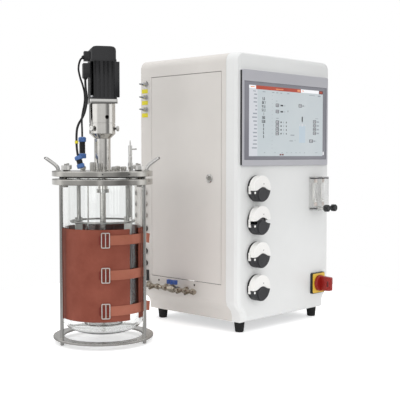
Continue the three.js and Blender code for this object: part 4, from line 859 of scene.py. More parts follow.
liftForm = {"rodRadius": 3.5, "legX": 116, "reach": 146.3, "halfSpan": 33, "rise": 13, "top": 33,
    "seat": 8, "hole": 2.4}
for i, side in enumerate((-1, 1), 1):
    f = liftForm
    base = plateForm["high"]
    legs = lambda end: [
        (side * f["legX"], end * f["halfSpan"], base - f["seat"]),
        (side * f["legX"], end * f["halfSpan"], base + f["rise"] * 0.5),
        (side * (f["legX"] + 4), end * f["halfSpan"], base + f["rise"]),
        (side * (f["reach"] - 10), end * f["halfSpan"], base + f["top"] - 7),
        (side * (f["reach"] - 1), end * (f["halfSpan"] - 3), base + f["top"] - 0.6),
        (side * f["reach"], end * (f["halfSpan"] - 10), base + f["top"])]
    route = smoothPath(legs(-1) + legs(1)[::-1], 110)
    bend = np.array(legs(-1)[4])
    facing = np.array([side * 0.3, -0.93, 0.2])
    # the hole at the bend is a black disc laid on the rod: painted shade for the hole's inside
    hole = alongLine(
        post(f["hole"], 0, f["rodRadius"] + 0.1, segments=28), bend, bend + facing)
    makePiece(
        f"liftHandle{i}", [(carriedShape(roundSection(f["rodRadius"], 20), route), 0), (hole, 1)],
        "polishedSteel blackMoulding", onVessel, replaces=f"lift_handle_{i}")

print("stage: stirrer drive")
driveForm = {
    "spigotRadius": 12.6, "spigotBottom": 391, "seat": 449.3, "tubeRadius": 21.25, "bodyRadius": 34,
    "coneBottom": 533, "coneTop": 545, "seam": 572.5, "top": 622.7, "tubeBore": 17, "bodyBore": 30,
    "slotAngle": -55, "slotWidth": 5, "screwAngles": (-42, 78, 198), "screwHeight": 559,
}
f = driveForm
housing = turnedShape(
    [(f["spigotRadius"], f["spigotBottom"], 0.5), (f["spigotRadius"], f["seat"]),
        (f["tubeRadius"], f["seat"]),
     (f["tubeRadius"], f["coneBottom"], 2.0), (f["bodyRadius"], f["coneTop"], 2.0),
     (f["bodyRadius"], f["seam"] - 0.7, 0.2), (f["bodyRadius"] - 2.4, f["seam"] - 0.5),
     (f["bodyRadius"] - 2.4, f["seam"] + 0.5), (f["bodyRadius"], f["seam"] + 0.7, 0.2),
     (f["bodyRadius"], f["top"], 0.8), (f["bodyBore"], f["top"], 0.5),
     (f["bodyBore"], f["coneTop"] + 4), (f["tubeBore"], f["coneBottom"] + 4), (f["tubeBore"], 473),
     (8.5, 465), (8.5, f["spigotBottom"])], closed=True, segments=128)
slotCutter = turnedAbout(
    blockShape((-f["slotWidth"] / 2, -f["bodyRadius"] - 4, f["seam"] + 3),
        (f["slotWidth"] / 2, -24, f["top"] + 3), 0.1), f["slotAngle"])
sightCutter = post(5, -40, -20, at=(12, 0, 588), axis="y", segments=40)
carvedPiece(
    "driveHousing", housing, [slotCutter, sightCutter], "groundSteel", onVessel,
    replaces="drive_housing")


# A knurled thumb screw pointing outwards from the vessel's axis, drawn along Z and then laid down
def thumbScrew(angle, height, start):
    neck = post(3, 0, 4.6, segments=32)
    head = turnedShape(
        [(0, 4.2), (6.4, 4.2, 0.5), (7.2, 5.2, 0.4), (7.2, 9.2, 0.6), (6.2, 10.2, 0.4), (2.6, 10.2, 0.3),
            (2.0, 9.4), (0, 9.4)], segments=120, ripple=(24, 0.35))
    inner, outer = around(start, angle, height), around(start + 10, angle, height)
    return [(alongLine(neck, inner, outer), 1), (alongLine(head, inner, outer), 0)]


screws = []
for angle in driveForm["screwAngles"]:
    screws += thumbScrew(angle, driveForm["screwHeight"], driveForm["bodyRadius"] - 0.3)
setScrew = turnedShape([(0, 0), (2.6, 0), (2.6, 0.9, 0.3), (1.3, 0.9), (1.3, 0.1), (0, 0.1)], segments=32)
screws.append((alongLine(setScrew, around(21.1, -38, 524), around(31, -38, 524)), 0))
# the ring nut that holds the spigot under the plate
screws.append((band(12.8, 17.5, 391.4, 400.6, (0.3, 0.8, 0.8, 0.3), segments=72, flats=(6, 16.4)), 0))
makePiece("driveScrews", screws, "polishedSteel darkSteel", onVessel)

motorForm = {
    "turn": 8, "flangeTop": 634.2, "earTop": 638.9, "bodyTop": 730, "relief": 26.5, "reach": 40,
    "screw": 30.4,
    "glands": (((-47.4, -5, 743), (-53.4, -5, 741), 5.4), ((-43, -15, 690), (-43, -15, 682), 6.0)),
}
f = motorForm
motorPiece = refined(
    "servo_motor", "glossBlack polishedSteel", fromVessel, 1.1,
    choose=lambda centres: (centres[:, 2] < motorForm["flangeTop"]).astype(int))
# the body's four corners are cut back over the ears, where the screws stand
corners = [(x, y) for x in (-1, 1) for y in (-1, 1)]
reliefs = []
for x, y in corners:
    spanX, spanY = sorted((x * f["relief"], x * f["reach"])), sorted((y * f["relief"], y * f["reach"]))
    relief = blockShape((spanX[0], spanY[0], f["earTop"]), (spanX[1], spanY[1], f["bodyTop"]), 0.4, 1.5)
    reliefs.append(turnedAbout(relief, f["turn"]))
carve(motorPiece, reliefs, "glossBlack", onVessel)
motorBits = []
for x, y in corners:
    head = turnedShape(
        [(0, f["earTop"] - 0.3), (3.6, f["earTop"] - 0.3), (3.6, f["earTop"] + 4.2, 0.6),
            (2.0, f["earTop"] + 4.4, 0.2),
         (2.0, f["earTop"] + 2), (0, f["earTop"] + 2)], at=(x * f["screw"], y * f["screw"], 0), segments=36)
    motorBits.append((turnedAbout(head, f["turn"]), 0))
for start, end, radius in f["glands"]:
    motorBits.append((alongLine(turnedShape(
        [(0, -2), (radius, -2, 0.5), (radius, 1.6, 0.5), (radius - 1.6, 4.4, 0.5), (radius - 2.2, 5), (0, 5)],
        segments=48, ripple=(12, 0.4)), start, end), 1))
makePiece("motorScrewsAndGlands", motorBits, "brightZinc rubberBlack", onVessel)

print("stage: stirrer, baffles and tubes")
stirForm = {
    "radius": 8, "bottom": 75, "couplingRadius": 20, "couplingBottom": 560, "couplingTop": 606,
    "motorShaft": 7,
    "top": 631, "impellers": (112, 215), "hub": 13, "disc": 30, "tip": 38, "blade": 17, "bladeHeight": 16,
    "blades": 6,
}
f = stirForm
stirShapes = [turnedShape(
    [(0, f["bottom"]), (f["radius"] - 1.5, f["bottom"], 0.8), (f["radius"], f["bottom"] + 2, 0.8),
     (f["radius"], f["couplingBottom"]), (f["couplingRadius"], f["couplingBottom"], 1.8),
     (f["couplingRadius"], 582, 0.4), (f["couplingRadius"] - 3, 583, 0.3),
     (f["couplingRadius"] - 3, 585, 0.3),
     (f["couplingRadius"], 586, 0.4), (f["couplingRadius"], f["couplingTop"], 1.8),
     (f["motorShaft"], f["couplingTop"]), (f["motorShaft"], f["top"] - 1), (f["motorShaft"] - 1, f["top"]),
     (0, f["top"])], segments=64)]
for height in f["impellers"]:
    stirShapes.append(band(7.5, f["hub"], height - 9, height + 9, (0, 1.2, 1.2, 0), segments=56))
    stirShapes.append(band(7.5, f["disc"], height - 1, height + 1, (0, 0.4, 0.4, 0), segments=72))
    for k in range(f["blades"]):
        blade = blockShape(
            (f["tip"] - f["blade"], -1, height - f["bladeHeight"] / 2),
            (f["tip"], 1, height + f["bladeHeight"] / 2), 0.4)
        stirShapes.append(turnedAbout(blade, k * 360 / f["blades"]))
    grub = turnedShape([(0, 0), (2.2, 0), (2.2, 0.7, 0.2), (1.1, 0.7), (1.1, 0.1), (0, 0.1)], segments=24)
    stirShapes.append(alongLine(grub, around(f["hub"] - 0.2, 30, height + 5.5),
        around(f["hub"] + 9, 30, height + 5.5)))
makePiece("stirrer", stirShapes, "turnedSteel", onVessel, body="agitator",
    replaces="agitator_shaft")

cageForm = {
    "ringRadius": 83, "wire": 2.5, "rings": (84, 317), "inner": 62, "bottom": 76, "top": 330, "rodCircle": 72,
    "rodRadius": 5, "angles": (-58, 62, 182), "rodTop": 434.7,
}
f = cageForm
cageShapes = []
ringAngles = np.linspace(0, 360, 120, endpoint=False)
for height in f["rings"]:
    cageShapes.append(carriedShape(
        roundSection(f["wire"], 14), around(f["ringRadius"], ringAngles, height), loop=True))
for angle in f["angles"]:
    cageShapes.append(turnedAbout(
        blockShape((-1.25, -f["ringRadius"], f["bottom"]), (1.25, -f["inner"], f["top"]), 0.4), angle))
    x, y, _ = around(f["rodCircle"], angle)
    cageShapes.append(post(f["rodRadius"], f["top"] - 10, f["rodTop"], 0.8, at=(x, y, 0), segments=32))
makePiece("baffles", cageShapes, "cageSteel", onVessel, replaces="baffle_cage")

spargeForm = {"radius": 48, "wire": 3, "height": 46, "pipe": 2, "angle": -52, "holes": 12, "top": 434.7}
f = spargeForm
spargeShapes = [carriedShape(roundSection(f["wire"], 16), around(f["radius"], ringAngles, f["height"]),
    loop=True)]
pipeRoute = np.array([around(f["radius"], f["angle"], z) for z in np.linspace(f["height"], f["top"], 30)])
spargeShapes.append(carriedShape(roundSection(f["pipe"], 16), pipeRoute))
for k in range(f["holes"]):
    x, y, _ = around(f["radius"], 15 + k * 360 / f["holes"])
    spargeShapes.append(band(0.5, 1.1, f["height"] + f["wire"] - 0.3, f["height"] + f["wire"] + 0.25,
        at=(x, y, 0), segments=14))
makePiece("gasRing", spargeShapes, "drawnSteel", onVessel, replaces="sparger")

harvestForm = {"x": 72, "y": -20, "radius": 4.5, "bottom": 120, "nut": 7, "nutTop": 470, "bodyTop": 515,
    "arm": 505, "top": 528}
f = harvestForm
spot = (f["x"], f["y"], 0)
harvestShapes = [
    band(3.4, f["radius"], f["bottom"], 450, (0, 0.4, 0, 0), at=spot, segments=32),
    post(8.1, 449.3, f["nutTop"] - 8, 0.5, 0.5, at=spot, segments=60, flats=(6, f["nut"])),
    post(6.4, 461, f["nutTop"], 0.5, 0.8, at=spot, segments=60, ripple=(16, 0.4)),
    turnedShape([(0, 469), (4.8, 469), (4.8, 486, 0.4), (4.2, 487, 0.3), (4.2, 489, 0.3), (4.8, 490, 0.4),
        (4.8, f["bodyTop"], 0.8), (0, f["bodyTop"])], at=spot, segments=36),
    turnedShape([(0, f["bodyTop"] - 1), (1.8, f["bodyTop"] - 1), (1.8, f["top"] - 4, 0.4),
        (1.3, f["top"] - 3), (1.3, f["top"]), (0, f["top"])], at=spot, segments=24),
    alongLine(turnedShape([(0, 0), (2, 0), (2, 13, 0.3), (2.4, 14, 0.3), (1.8, 17), (0, 17)], segments=24),
              (f["x"], f["y"], f["arm"]), (f["x"] + 17, f["y"], f["arm"] + 1)),
]
makePiece("harvestPipe", harvestShapes, "polishedSteel", onVessel, replaces="harvest_tube")

print("stage: cabinet")
doorForm = {"bottom": 133.3, "top": 717.2, "front": 60.5, "rear": 338.4, "gap": 1.2}


# The seal in the gap above and below the door: the faces at those two heights are black
def sealChoice(centres, gap):
    f = doorForm
    _, y, z = centres.T
    off = np.minimum(np.abs(z - f["bottom"] + gap), np.abs(z - f["top"] - gap))
    return (off < 0.2) & (y > f["front"] - gap) & (y < f["rear"] + gap)


refined(
    "cabinet_shell", "sidePaint rubberBlack", fromCabinet, 0.5,
    keep=lambda centres: centres[:, 0] > -0.2, choose=lambda centres: sealChoice(centres, doorForm["gap"]))
refined("front_bezel", "frontPaint", fromCabinet, 0.5)
refined("floor_tray", "galvanisedSheet", fromCabinet, 0.3)
refined("back_panel", "sidePaint", fromCabinet, 0.3)
refined(
    "service_door", "sidePaint rubberBlack", fromCabinet, 0.5, body="door",
    choose=lambda centres: sealChoice(centres, 0))
refined("control_chassis", "galvanisedSheet", fromCabinet, 0.4)

# Gas nozzles: a hexagon nut on the wall, a tapered body and a ribbed barb for the hose
nozzleForm = {"y": 361, "heights": (699, 661, 625), "flats": 6.6, "reach": 28}
nozzleShapes = []
for height in nozzleForm["heights"]:
    reach = nozzleForm["reach"]
    nut = turnedShape(
        [(0, -1), (8, -1), (8, 4.8, 0.5), (7, 6, 0.3), (0, 6)], segments=60, flats=(6, nozzleForm["flats"]))
    barb = turnedShape(
        [(0, 5.5), (5.8, 5.5, 0.4), (5.0, 16, 1.0), (2.2, 16.4, 0.3), (3.0, 19), (2.2, 19.2), (3.0, 22),
         (2.2, 22.2), (2.8, 25), (2.0, 25.2), (2.0, reach - 0.4, 0.3), (1.2, reach, 0.2), (1.2, reach - 8),
         (0, reach - 8)], segments=48)
    start, end = (0, nozzleForm["y"], height), (-reach, nozzleForm["y"], height)
    nozzleShapes += [alongLine(nut, start, end), alongLine(barb, start, end)]
makePiece("gasNozzles", nozzleShapes, "brightZinc", onCabinet)

# Bare yellow plates under the nozzles, and the row of sensor ports and sockets below them
stripForm = {
    "plates": (679, 645, 608), "plateY": (355, 381), "plateHalf": 6, "ports": (377, 344, 310), "portY": 366,
    "gland": 270, "plugs": (203, 167), "inlet": (355.5, 376.5, 120, 141),
}
plates = [
    blockShape((-0.4, stripForm["plateY"][0], z - stripForm["plateHalf"]),
               (0.1, stripForm["plateY"][1], z + stripForm["plateHalf"]), 0.1, 0.8, axis="x")
    for z in stripForm["plates"]]
makePiece("portPlates", plates, "labelYellow", onCabinet)
portBits = []
for z in stripForm["ports"]:
    start, end = (0, stripForm["portY"], z), (-9, stripForm["portY"], z)
    portBits.append((alongLine(turnedShape(
        [(0, -1), (8.5, -1), (8.5, 2.2, 0.5), (7.2, 3, 0.3), (7.2, 7.4, 0.6), (5.6, 8, 0.3), (5.4, 4.5),
            (0, 4.5)], segments=72, ripple=(24, 0.25)), start, end), 0))
    portBits.append((alongLine(post(4.9, 4.3, 4.9, 0, 0.2, segments=32), start, end), 1))
start = (0, stripForm["portY"], stripForm["gland"])
portBits.append((alongLine(turnedShape(
    [(0, -1), (9.5, -1), (9.5, 4, 0.6), (7.6, 5, 0.4), (7.4, 11, 1.4), (4.4, 13, 0.6), (0, 13)],
    segments=72, ripple=(12, 0.4)), start, (-13, *start[1:])), 1))
for z in stripForm["plugs"]:
    start = (0, stripForm["portY"], z)
    portBits.append((alongLine(turnedShape(
        [(0, -1), (9, -1), (9, 5, 0.8), (7, 7, 0.5), (6.2, 11, 1.2), (0, 11.5)], segments=64,
        ripple=(16, 0.35)), start, (-17, *start[1:])), 1))
    # the moulded boot that turns the plug's outlet downwards
    elbow = smoothPath([(-8, 0, 0), (-13, 0, -0.6), (-17, 0, -4), (-18.4, 0, -9), (-18, 0, -14)],
        18) + np.array(start)
    portBits.append((carriedShape(roundSection(3.6, 20), elbow, scale=np.linspace(1.35, 0.85, 18)), 1))
y0, y1, z0, z1 = stripForm["inlet"]
portBits.append((blockShape((-3, y0 - 4, z0 - 6), (0.2, y1 + 4, z1 + 6), 0.8, 3, axis="x"), 1))
portBits.append((blockShape((-4.2, y0 + 2, z0 + 2), (-2.6, y1 - 2, z1 - 2), 0.4, 3, axis="x"), 2))
makePiece("sensorPorts", portBits, "turnedSteel blackMoulding darkSteel", onCabinet)

# Small screws near the wall's edges and over the hose fittings
wallScrews = [(0, 162.5, 121), (0, 309, 121), (0, 372, 420), (0, 372, 232)]
screwShapes = []
for place in wallScrews:
    head = turnedShape([(0, -0.5), (3, -0.5), (3, 0.6, 0.4), (1.6, 1.4, 0.5), (1.0, 1.5), (0.9, 0.6),
        (0, 0.6)], segments=32)
    screwShapes.append(alongLine(head, place, (place[0] - 1, *place[1:])))
makePiece("wallScrews", screwShapes, "darkSteel", onCabinet)

# Door lock: a bright rim, a keyed barrel through the door and the cam behind it
lockForm = {"y": 104, "z": 425, "rimRadius": 12.5, "barrelRadius": 9.5, "barrel": 18,
            "cam": (97, 373, 111, 432), "camFrom": 18.0, "camTo": 20.4, "nutTo": 24.2}
start = (0, lockForm["y"], lockForm["z"])
out = (-1, lockForm["y"], lockForm["z"])
lockRim = alongLine(turnedShape(
    [(0, -lockForm["barrel"]), (lockForm["barrelRadius"], -lockForm["barrel"], 0.6),
        (lockForm["barrelRadius"], 0.3),
     (lockForm["rimRadius"], 0.3, 0.3), (lockForm["rimRadius"] - 0.3, 1.6, 0.6),
     (lockForm["rimRadius"] - 2.4, 2.9, 0.5),
     (9.3, 2.5, 0.3), (8.9, 1.9, 0.2), (8.0, 2.0, 0.2), (0, 2.0)], segments=96), start, out)
keyway = blockShape((-6, 102.6, 420), (2, 105.4, 430), 0.2, 1.2, axis="x")
carvedPiece("lockBarrel", lockRim, [keyway], "polishedSteel", onCabinet, body="lock",
    replaces="door_lock")
left, low, right, high = lockForm["cam"]
camOutline = roundedLine([(left, low, 2), (right, low, 2), (right, high, 6), (left, high, 6)], True, 6)
camShape = stackedShape(camOutline, easedRings(lockForm["camFrom"], lockForm["camTo"], 0.4), axis="x")
camNut = alongLine(
    post(7, 0, 4, 0, 0.6, segments=60, flats=(6, 6)), (lockForm["nutTo"] - 4, *start[1:]),
    (lockForm["nutTo"], *start[1:]))
makePiece("lockCam", [camShape, camNut], "brightZinc", onCabinet, body="lock")


footForm = {"places": ((44, 31), (44, 338), (376, 31), (376, 338))}
for i, (x, y) in enumerate(footForm["places"], 1):
    footShape = turnedShape(
        [(0, 8), (5, 8, 0.4), (5, 1, 0.6), (6, 0, 0.4), (11, 0, 0.6), (12, 1.2, 0.8), (13.4, 14),
            (13.9, 15, 0.3), (13.6, 16, 0.3), (15, 28.6, 0.4), (0, 28.6)], at=(x, y, 0), segments=72)
    makePiece(f"rubberFoot{i}", [footShape], "rubberBlack", onCabinet, replaces=f"foot_{i}")

print("stage: screen")
screenForm = {
    "pocket": (18, 477, 394, 690), "glassFront": -7.2, "left": 38, "right": 376, "bottom": 487, "top": 680,
    "rows": 15, "rowTop": 0.127, "rowPitch": 0.054, "glow": 0.14,
}
bezelLeft = fromCabinet(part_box("screen_bezel")[0])[0]


# The pocket's own surfaces are darker than the bezel's face, and the bezel's left side faces are black:
# painted shade for that side, which lies in shadow
def displayChoice(centres):
    x0, z0, x1, z1 = screenForm["pocket"]
    inside = (centres[:, 0] > x0 - 0.5) & (centres[:, 0] < x1 + 0.5) & (centres[:, 2] > z0 - 0.5) & (
        centres[:, 2] < z1 + 0.5)
    kinds = (inside & (centres[:, 1] < -3.5) & (centres[:, 1] > -7.9)).astype(int)
    # painted shade: the bezel's left side faces get the black moulding
    kinds[(centres[:, 0] < bezelLeft + 0.3)] = 2
    return kinds


refined("screen_bezel", "displayFrame displayInnerFrame blackMoulding", fromCabinet, 0.5,
    choose=displayChoice)
x0, z0, x1, z1 = screenForm["pocket"]
glassFront = screenForm["glassFront"]
makePiece(
    "screenGlass", [blockShape((x0 + 0.3, glassFront, z0 + 0.3), (x1 - 0.3, -4.3, z1 - 0.3), 0.3, 1.0,
        axis="y")], "displayInnerFrame", onCabinet, replaces="screen_panel")

inkColours = {
    "field": ((192, 199, 202), (184, 193, 197)), "side": ((205, 207, 212), (199, 202, 208)),
    "mist": ((182, 196, 206), (176, 191, 202)), "white": ((246, 246, 248), (240, 241, 244)),
    "title": ((178, 60, 28), (160, 48, 20)), "warm": ((232, 150, 100), (226, 140, 92)),
    "dark": ((44, 47, 52), (39, 42, 47)), "grey": ((150, 157, 164), (144, 151, 158)),
    "maroon": ((104, 18, 16), (92, 12, 12)),
}
for name, (first, second) in inkColours.items():
    litFinish(f"screen_{name}", tint(*first), tint(*second), screenForm["glow"])
inkNames = list(inkColours)
screenShapes = []


# A flat mark on the screen: shares of its width and height from the top left, on a layer in front of the
# glass
def screenMark(left, top, right, bottom, ink, layer=2):
    f = screenForm
    width, height = f["right"] - f["left"], f["top"] - f["bottom"]
    u0, u1 = f["left"] + width * left, f["left"] + width * right
    v0, v1 = f["top"] - height * bottom, f["top"] - height * top
    back, face = glassFront + 0.02, glassFront - 0.03 * layer
    corners = np.array([(x, y, z) for y in (face, back) for z in (v0, v1) for x in (u0, u1)], float)
    quads = np.array([(0, 1, 3, 2), (4, 6, 7, 5), (0, 4, 5, 1), (2, 3, 7, 6), (0, 2, 6, 4), (1, 5, 7, 3)])
    screenShapes.append((facingOut(corners, [quads]), inkNames.index(ink)))


# A numeral as a small seven-bar figure; a dot takes a third of a figure's width
def screenNumber(text, centre, middle, height=0.04):
    bars = {"0": "abcdef", "1": "bc", "2": "abged", "3": "abgcd", "4": "fgbc", "5": "afgcd", "6": "afgedc",
            "7": "abc", "8": "abcdefg", "9": "abcdfg"}
    wide, thick = height * 0.34, height * 0.17
    spans = [wide * 0.45 if c == "." else wide for c in text]
    left = centre - sum(spans) / 2
    for c, span in zip(text, spans):
        x0, x1 = left + 0.12 * wide, left + span - 0.12 * wide
        y0, y1, ym = middle - height / 2, middle + height / 2, middle
        side = thick * 0.6
        places = {
            "a": (x0, y0, x1, y0 + thick), "g": (x0, ym - thick / 2, x1, ym + thick / 2),
            "d": (x0, y1 - thick, x1, y1),
            "f": (x0, y0, x0 + side, ym), "e": (x0, ym, x0 + side, y1), "b": (x1 - side, y0, x1, ym),
            "c": (x1 - side, ym, x1, y1)}
        if c == ".":
            screenMark(x0, y1 - thick, x1, y1, "dark", 3)
        for bar in bars.get(c, ""):
            screenMark(*places[bar], "dark", 3)
        left += span


# the title bar and its buttons
for mark in (
        (0, 0, 1, 1, "field", 1), (0, 0.045, 0.105, 1, "side", 2), (0, 0, 0.086, 0.045, "white", 3),
        (0.018, 0.016, 0.07, 0.028, "warm", 4), (0.086, 0, 0.68, 0.052, "title", 3),
        (0.34, 0.024, 0.44, 0.036, "warm", 4), (0.632, 0.010, 0.668, 0.040, "warm", 4),
        (0.68, 0, 0.94, 0.048, "white", 3), (0.70, 0.016, 0.72, 0.030, "warm", 4),
        (0.94, 0, 1, 0.050, "maroon", 3), (0.955, 0.012, 0.985, 0.036, "title", 4)):
    screenMark(*mark)
for left, wide in ((0.05, 0.035), (0.17, 0.035), (0.29, 0.03), (0.345, 0.025), (0.40, 0.025), (0.49, 0.03)):
    screenMark(left, 0.076, left + wide, 0.088, "grey", 3)
for mark in (
        (0.80, 0.075, 0.88, 0.084, "grey", 2), (0.925, 0.072, 0.965, 0.092, "grey", 3)):
    screenMark(*mark)
readings = ["", "5.0", "36.7", "41.6", "51.3", "1", "200", "0.00", "0", "0", "0", "0", "", "", ""]
labelWidths = (0.035, 0.04, 0.042, 0.02, 0.022, 0.05, 0.06, 0.046, 0.036, 0.036, 0.05, 0.044, 0.042, 0.05,
    0.062)
for row in range(screenForm["rows"]):
    middle = screenForm["rowTop"] + row * screenForm["rowPitch"]
    screenMark(0.098 - labelWidths[row], middle - 0.009, 0.098, middle + 0.009, "grey", 3)
    screenNumber(readings[row], 0.182, middle)
    screenMark(0.290, middle - 0.003, 0.296, middle + 0.006, "grey", 2)


# A square key with a lighter middle, and the bars of its label beside it
def screenKey(left, middle, labels, wide=0.043, half=0.024):
    screenMark(left, middle - half, left + wide, middle + half, "dark", 2)
    for i in (0, 1):
        for j in (0, 1):
            x = left + wide * (0.16 + 0.38 * i)
            y = middle - half * (0.72 - 0.84 * j)
            screenMark(x, y, x + wide * 0.28, y + half * 0.58, "side", 3)
    for offset, size, ink in labels:
        screenMark(left + offset, middle - 0.011, left + offset + size, middle + 0.011, ink, 2)


for middle in (0.262, 0.352):
    screenKey(0.34, middle, ((0.062, 0.036, "dark"), (0.116, 0.008, "grey")))
for middle in (0.506, 0.561, 0.616, 0.671):
    screenKey(0.34, middle, ((0.064, 0.014, "dark"), (0.100, 0.007, "grey"), (0.137, 0.010, "dark")))
for mark in (
        (0.342, 0.198, 0.362, 0.206, "grey", 2), (0.342, 0.445, 0.378, 0.455, "grey", 2),
        (0.500, 0.328, 0.506, 0.352, "dark", 2)):
    screenMark(*mark)
screenKey(0.65, 0.248, ((0.056, 0.012, "dark"), (0.084, 0.006, "grey")))
for middle in (0.478, 0.536, 0.594, 0.652):
    screenKey(0.858, middle, ((0.052, 0.034, "grey"),))
screenMark(0.89, 0.424, 0.93, 0.432, "grey", 2)
screenKey(0.805, 0.772, ((0.056, 0.030, "grey"), (0.095, 0.006, "grey")), wide=0.05)
# the vessel's drawing: its shaft, body, ports and labels
for mark in (
        (0.694, 0.408, 0.710, 0.484, "dark", 3), (0.698, 0.484, 0.706, 0.505, "grey", 3),
        (0.660, 0.548, 0.746, 0.800, "mist", 2), (0.660, 0.520, 0.668, 0.548, "side", 2),
        (0.742, 0.520, 0.750, 0.548, "side", 2), (0.694, 0.516, 0.712, 0.556, "side", 3),
        (0.540, 0.682, 0.592, 0.698, "grey", 2), (0.526, 0.768, 0.572, 0.782, "grey", 2),
        (0.600, 0.756, 0.606, 0.776, "grey", 2)):
    screenMark(*mark)
for left in (0.19, 0.325, 0.42, 0.485, 0.545, 0.61, 0.665, 0.73):
    screenMark(left, 0.945, left + 0.014, 0.954, "grey", 2)
screenMark(0.89, 0.945, 0.925, 0.952, "grey", 2)
for left in (0.395, 0.425):
    screenMark(left, 0.968, left + 0.022, 0.990, "maroon", 3)
screenMark(1.004, 0.935, 1.018, 0.985, "white", 2)
makePiece("screenPicture", screenShapes, " ".join(f"screen_{name}" for name in inkNames), onCabinet)

print("stage: pumps")
pumpForm = {
    "x": 75, "heights": (398, 306.8, 215.6, 124.4), "raised": (0, 8, 0, 0), "radius": 36, "plate": 7,
    "depth": 25,
    "edgeZ": -5, "edgeRise": 9, "edgeX": 3, "edgeHalf": 30, "gap": 0.3, "coverEdge": 1.1, "wall": 3,
    "noseX": 1.2, "noseZ": -16.1, "noseRadius": 19.8, "noseProud": 3,
}


# The wavy line between cover and body: a cosine hump over the nose
def pumpEdge(x):
    f = pumpForm
    t = np.minimum(1, np.abs(x - f["edgeX"]) / f["edgeHalf"])
    return f["edgeZ"] + f["edgeRise"] * (1 + np.cos(np.pi * t)) / 2


# The part of a disc above or below the wavy line, less a gap
def pumpOutline(radius, upper):
    gap = pumpForm["gap"] if upper else -pumpForm["gap"]
    level = pumpForm["edgeZ"] + gap
    reach = math.sqrt(radius**2 - level**2)
    start = math.atan2(level, reach)
    sweep = np.linspace(start, math.pi - start, 72) if upper else np.linspace(start, -math.pi - start, 72)
    arc = np.stack([radius * np.cos(sweep), radius * np.sin(sweep)], -1)
    xs = np.linspace(arc[-1, 0], arc[0, 0], 64)[1:-1]
    return np.concatenate([arc, np.stack([xs, pumpEdge(xs) + gap], -1)])


# Rings of a stacked outline eased at its front only
def frontEased(front, back, edge, steps=4):
    angle = np.linspace(0, np.pi / 2, steps + 1)
    return [(edge * (1 - math.sin(a)), front + edge * (1 - math.cos(a))) for a in angle] + [(0, back)]


for i, (height, lift) in enumerate(zip(pumpForm["heights"], pumpForm["raised"]), 1):
    f = pumpForm
    here = (f["x"], 0, height)
    face = -f["depth"] + 1
    rear = turnedShape(
        [(5, -0.3), (f["radius"] - 0.8, -0.3, 0.3), (f["radius"], -1.2, 0.5),
            (f["radius"], -f["plate"], 0.4), (5, -f["plate"])],
        at=here, axis="y", segments=128, closed=True)
    lower = stackedShape(pumpOutline(f["radius"], False), frontEased(face, -f["plate"] + 0.1, 0.5), "y", here)
    nose = turnedShape(
        [(0, face + 0.1), (f["noseRadius"], face + 0.1), (f["noseRadius"], face - 1.4, 1.0),
         (f["noseRadius"] - 1.6, face - f["noseProud"], 1.0),
         (f["noseRadius"] - 4, face - f["noseProud"] + 0.4, 0.4), (0, face - f["noseProud"] + 0.4)],
        at=(f["x"] + f["noseX"], 0, height + f["noseZ"]), axis="y", segments=96)
    ring = band(21, 22.5, -f["plate"] + 0.1, -17, at=here, axis="y", segments=72)
    chamber = post(21.6, face + 2.8, -f["plate"] + 0.6, at=here, axis="y", segments=72)
    carvedPiece(
        f"pumpBody{i}", lower, [chamber], "greyMoulding", onCabinet,
        replaces=f"pump_body_{i}")
    shapes = [(rear, 0), (nose, 1), (ring, 0)]
    # a clamp for the tube on the left rim, and a small latch pin beside it
    for z, inner in ((-10.6, -33.0), (-3.2, -36.3), (4.2, -36.3)):
        shapes.append((blockShape(
            (f["x"] - 38.6, -13.5, height + z - 3.5), (f["x"] + inner, -7.2, height + z + 3.5), 0.6), 2))
    shapes.append((turnedShape(
        [(0, face + 1), (3.3, face + 1), (3.3, face - 0.9, 0.5), (0, face - 1.1)],
        at=(f["x"] - 30.4, 0, height - 10.4), axis="y", segments=32), 2))
    makePiece(f"pumpFixings{i}", shapes, "blackMoulding greyMoulding whiteMoulding", onCabinet)
    coverAt = (f["x"], 0, height + lift)
    cover = stackedShape(
        pumpOutline(f["radius"], True), frontEased(-f["depth"], -f["plate"] - 0.3, f["coverEdge"]), "y",
        coverAt)
    hollow = stackedShape(
        pumpOutline(f["radius"] - f["wall"], True) - (0, 2.0),
        [(0, -f["depth"] + f["wall"]), (0, -f["plate"] + 2)], "y", coverAt)
    carvedPiece(
        f"pumpCover{i}", cover, [hollow], "whiteMoulding", onCabinet, body=f"cover_{i}",
        replaces=f"pump_cover_{i}")
    pin = post(1.5, -f["depth"] - 0.15, -f["depth"] + 0.5,
                      at=(f["x"] + 6, 0, height + lift + 13), axis="y", segments=24)
    makePiece(f"pumpCoverPin{i}", [pin], "darkSteel", onCabinet, body=f"cover_{i}")
    rotorShapes = [
        (post(16, -20, -18.5, 0.5, 0.5, at=here, axis="y", segments=48), 0),
        (post(16, -9.5, -8, 0.5, 0.5, at=here, axis="y", segments=48), 0),
        (post(4, -20, 22, 0, 0.6, at=here, axis="y", segments=32), 1)]
    for k in range(3):
        angle = math.radians(90 + 120 * k)
        at = (f["x"] + 12 * math.cos(angle), 0, height + 12 * math.sin(angle))
        rotorShapes.append((post(6, -19.5, -8.5, 0.4, 0.4, at=at, axis="y", segments=32), 1))
    makePiece(
        f"pumpRotor{i}", rotorShapes, "rotorPlastic polishedSteel", onCabinet, body=f"rotor_{i}",
        replaces=f"pump_rotor_{i}")

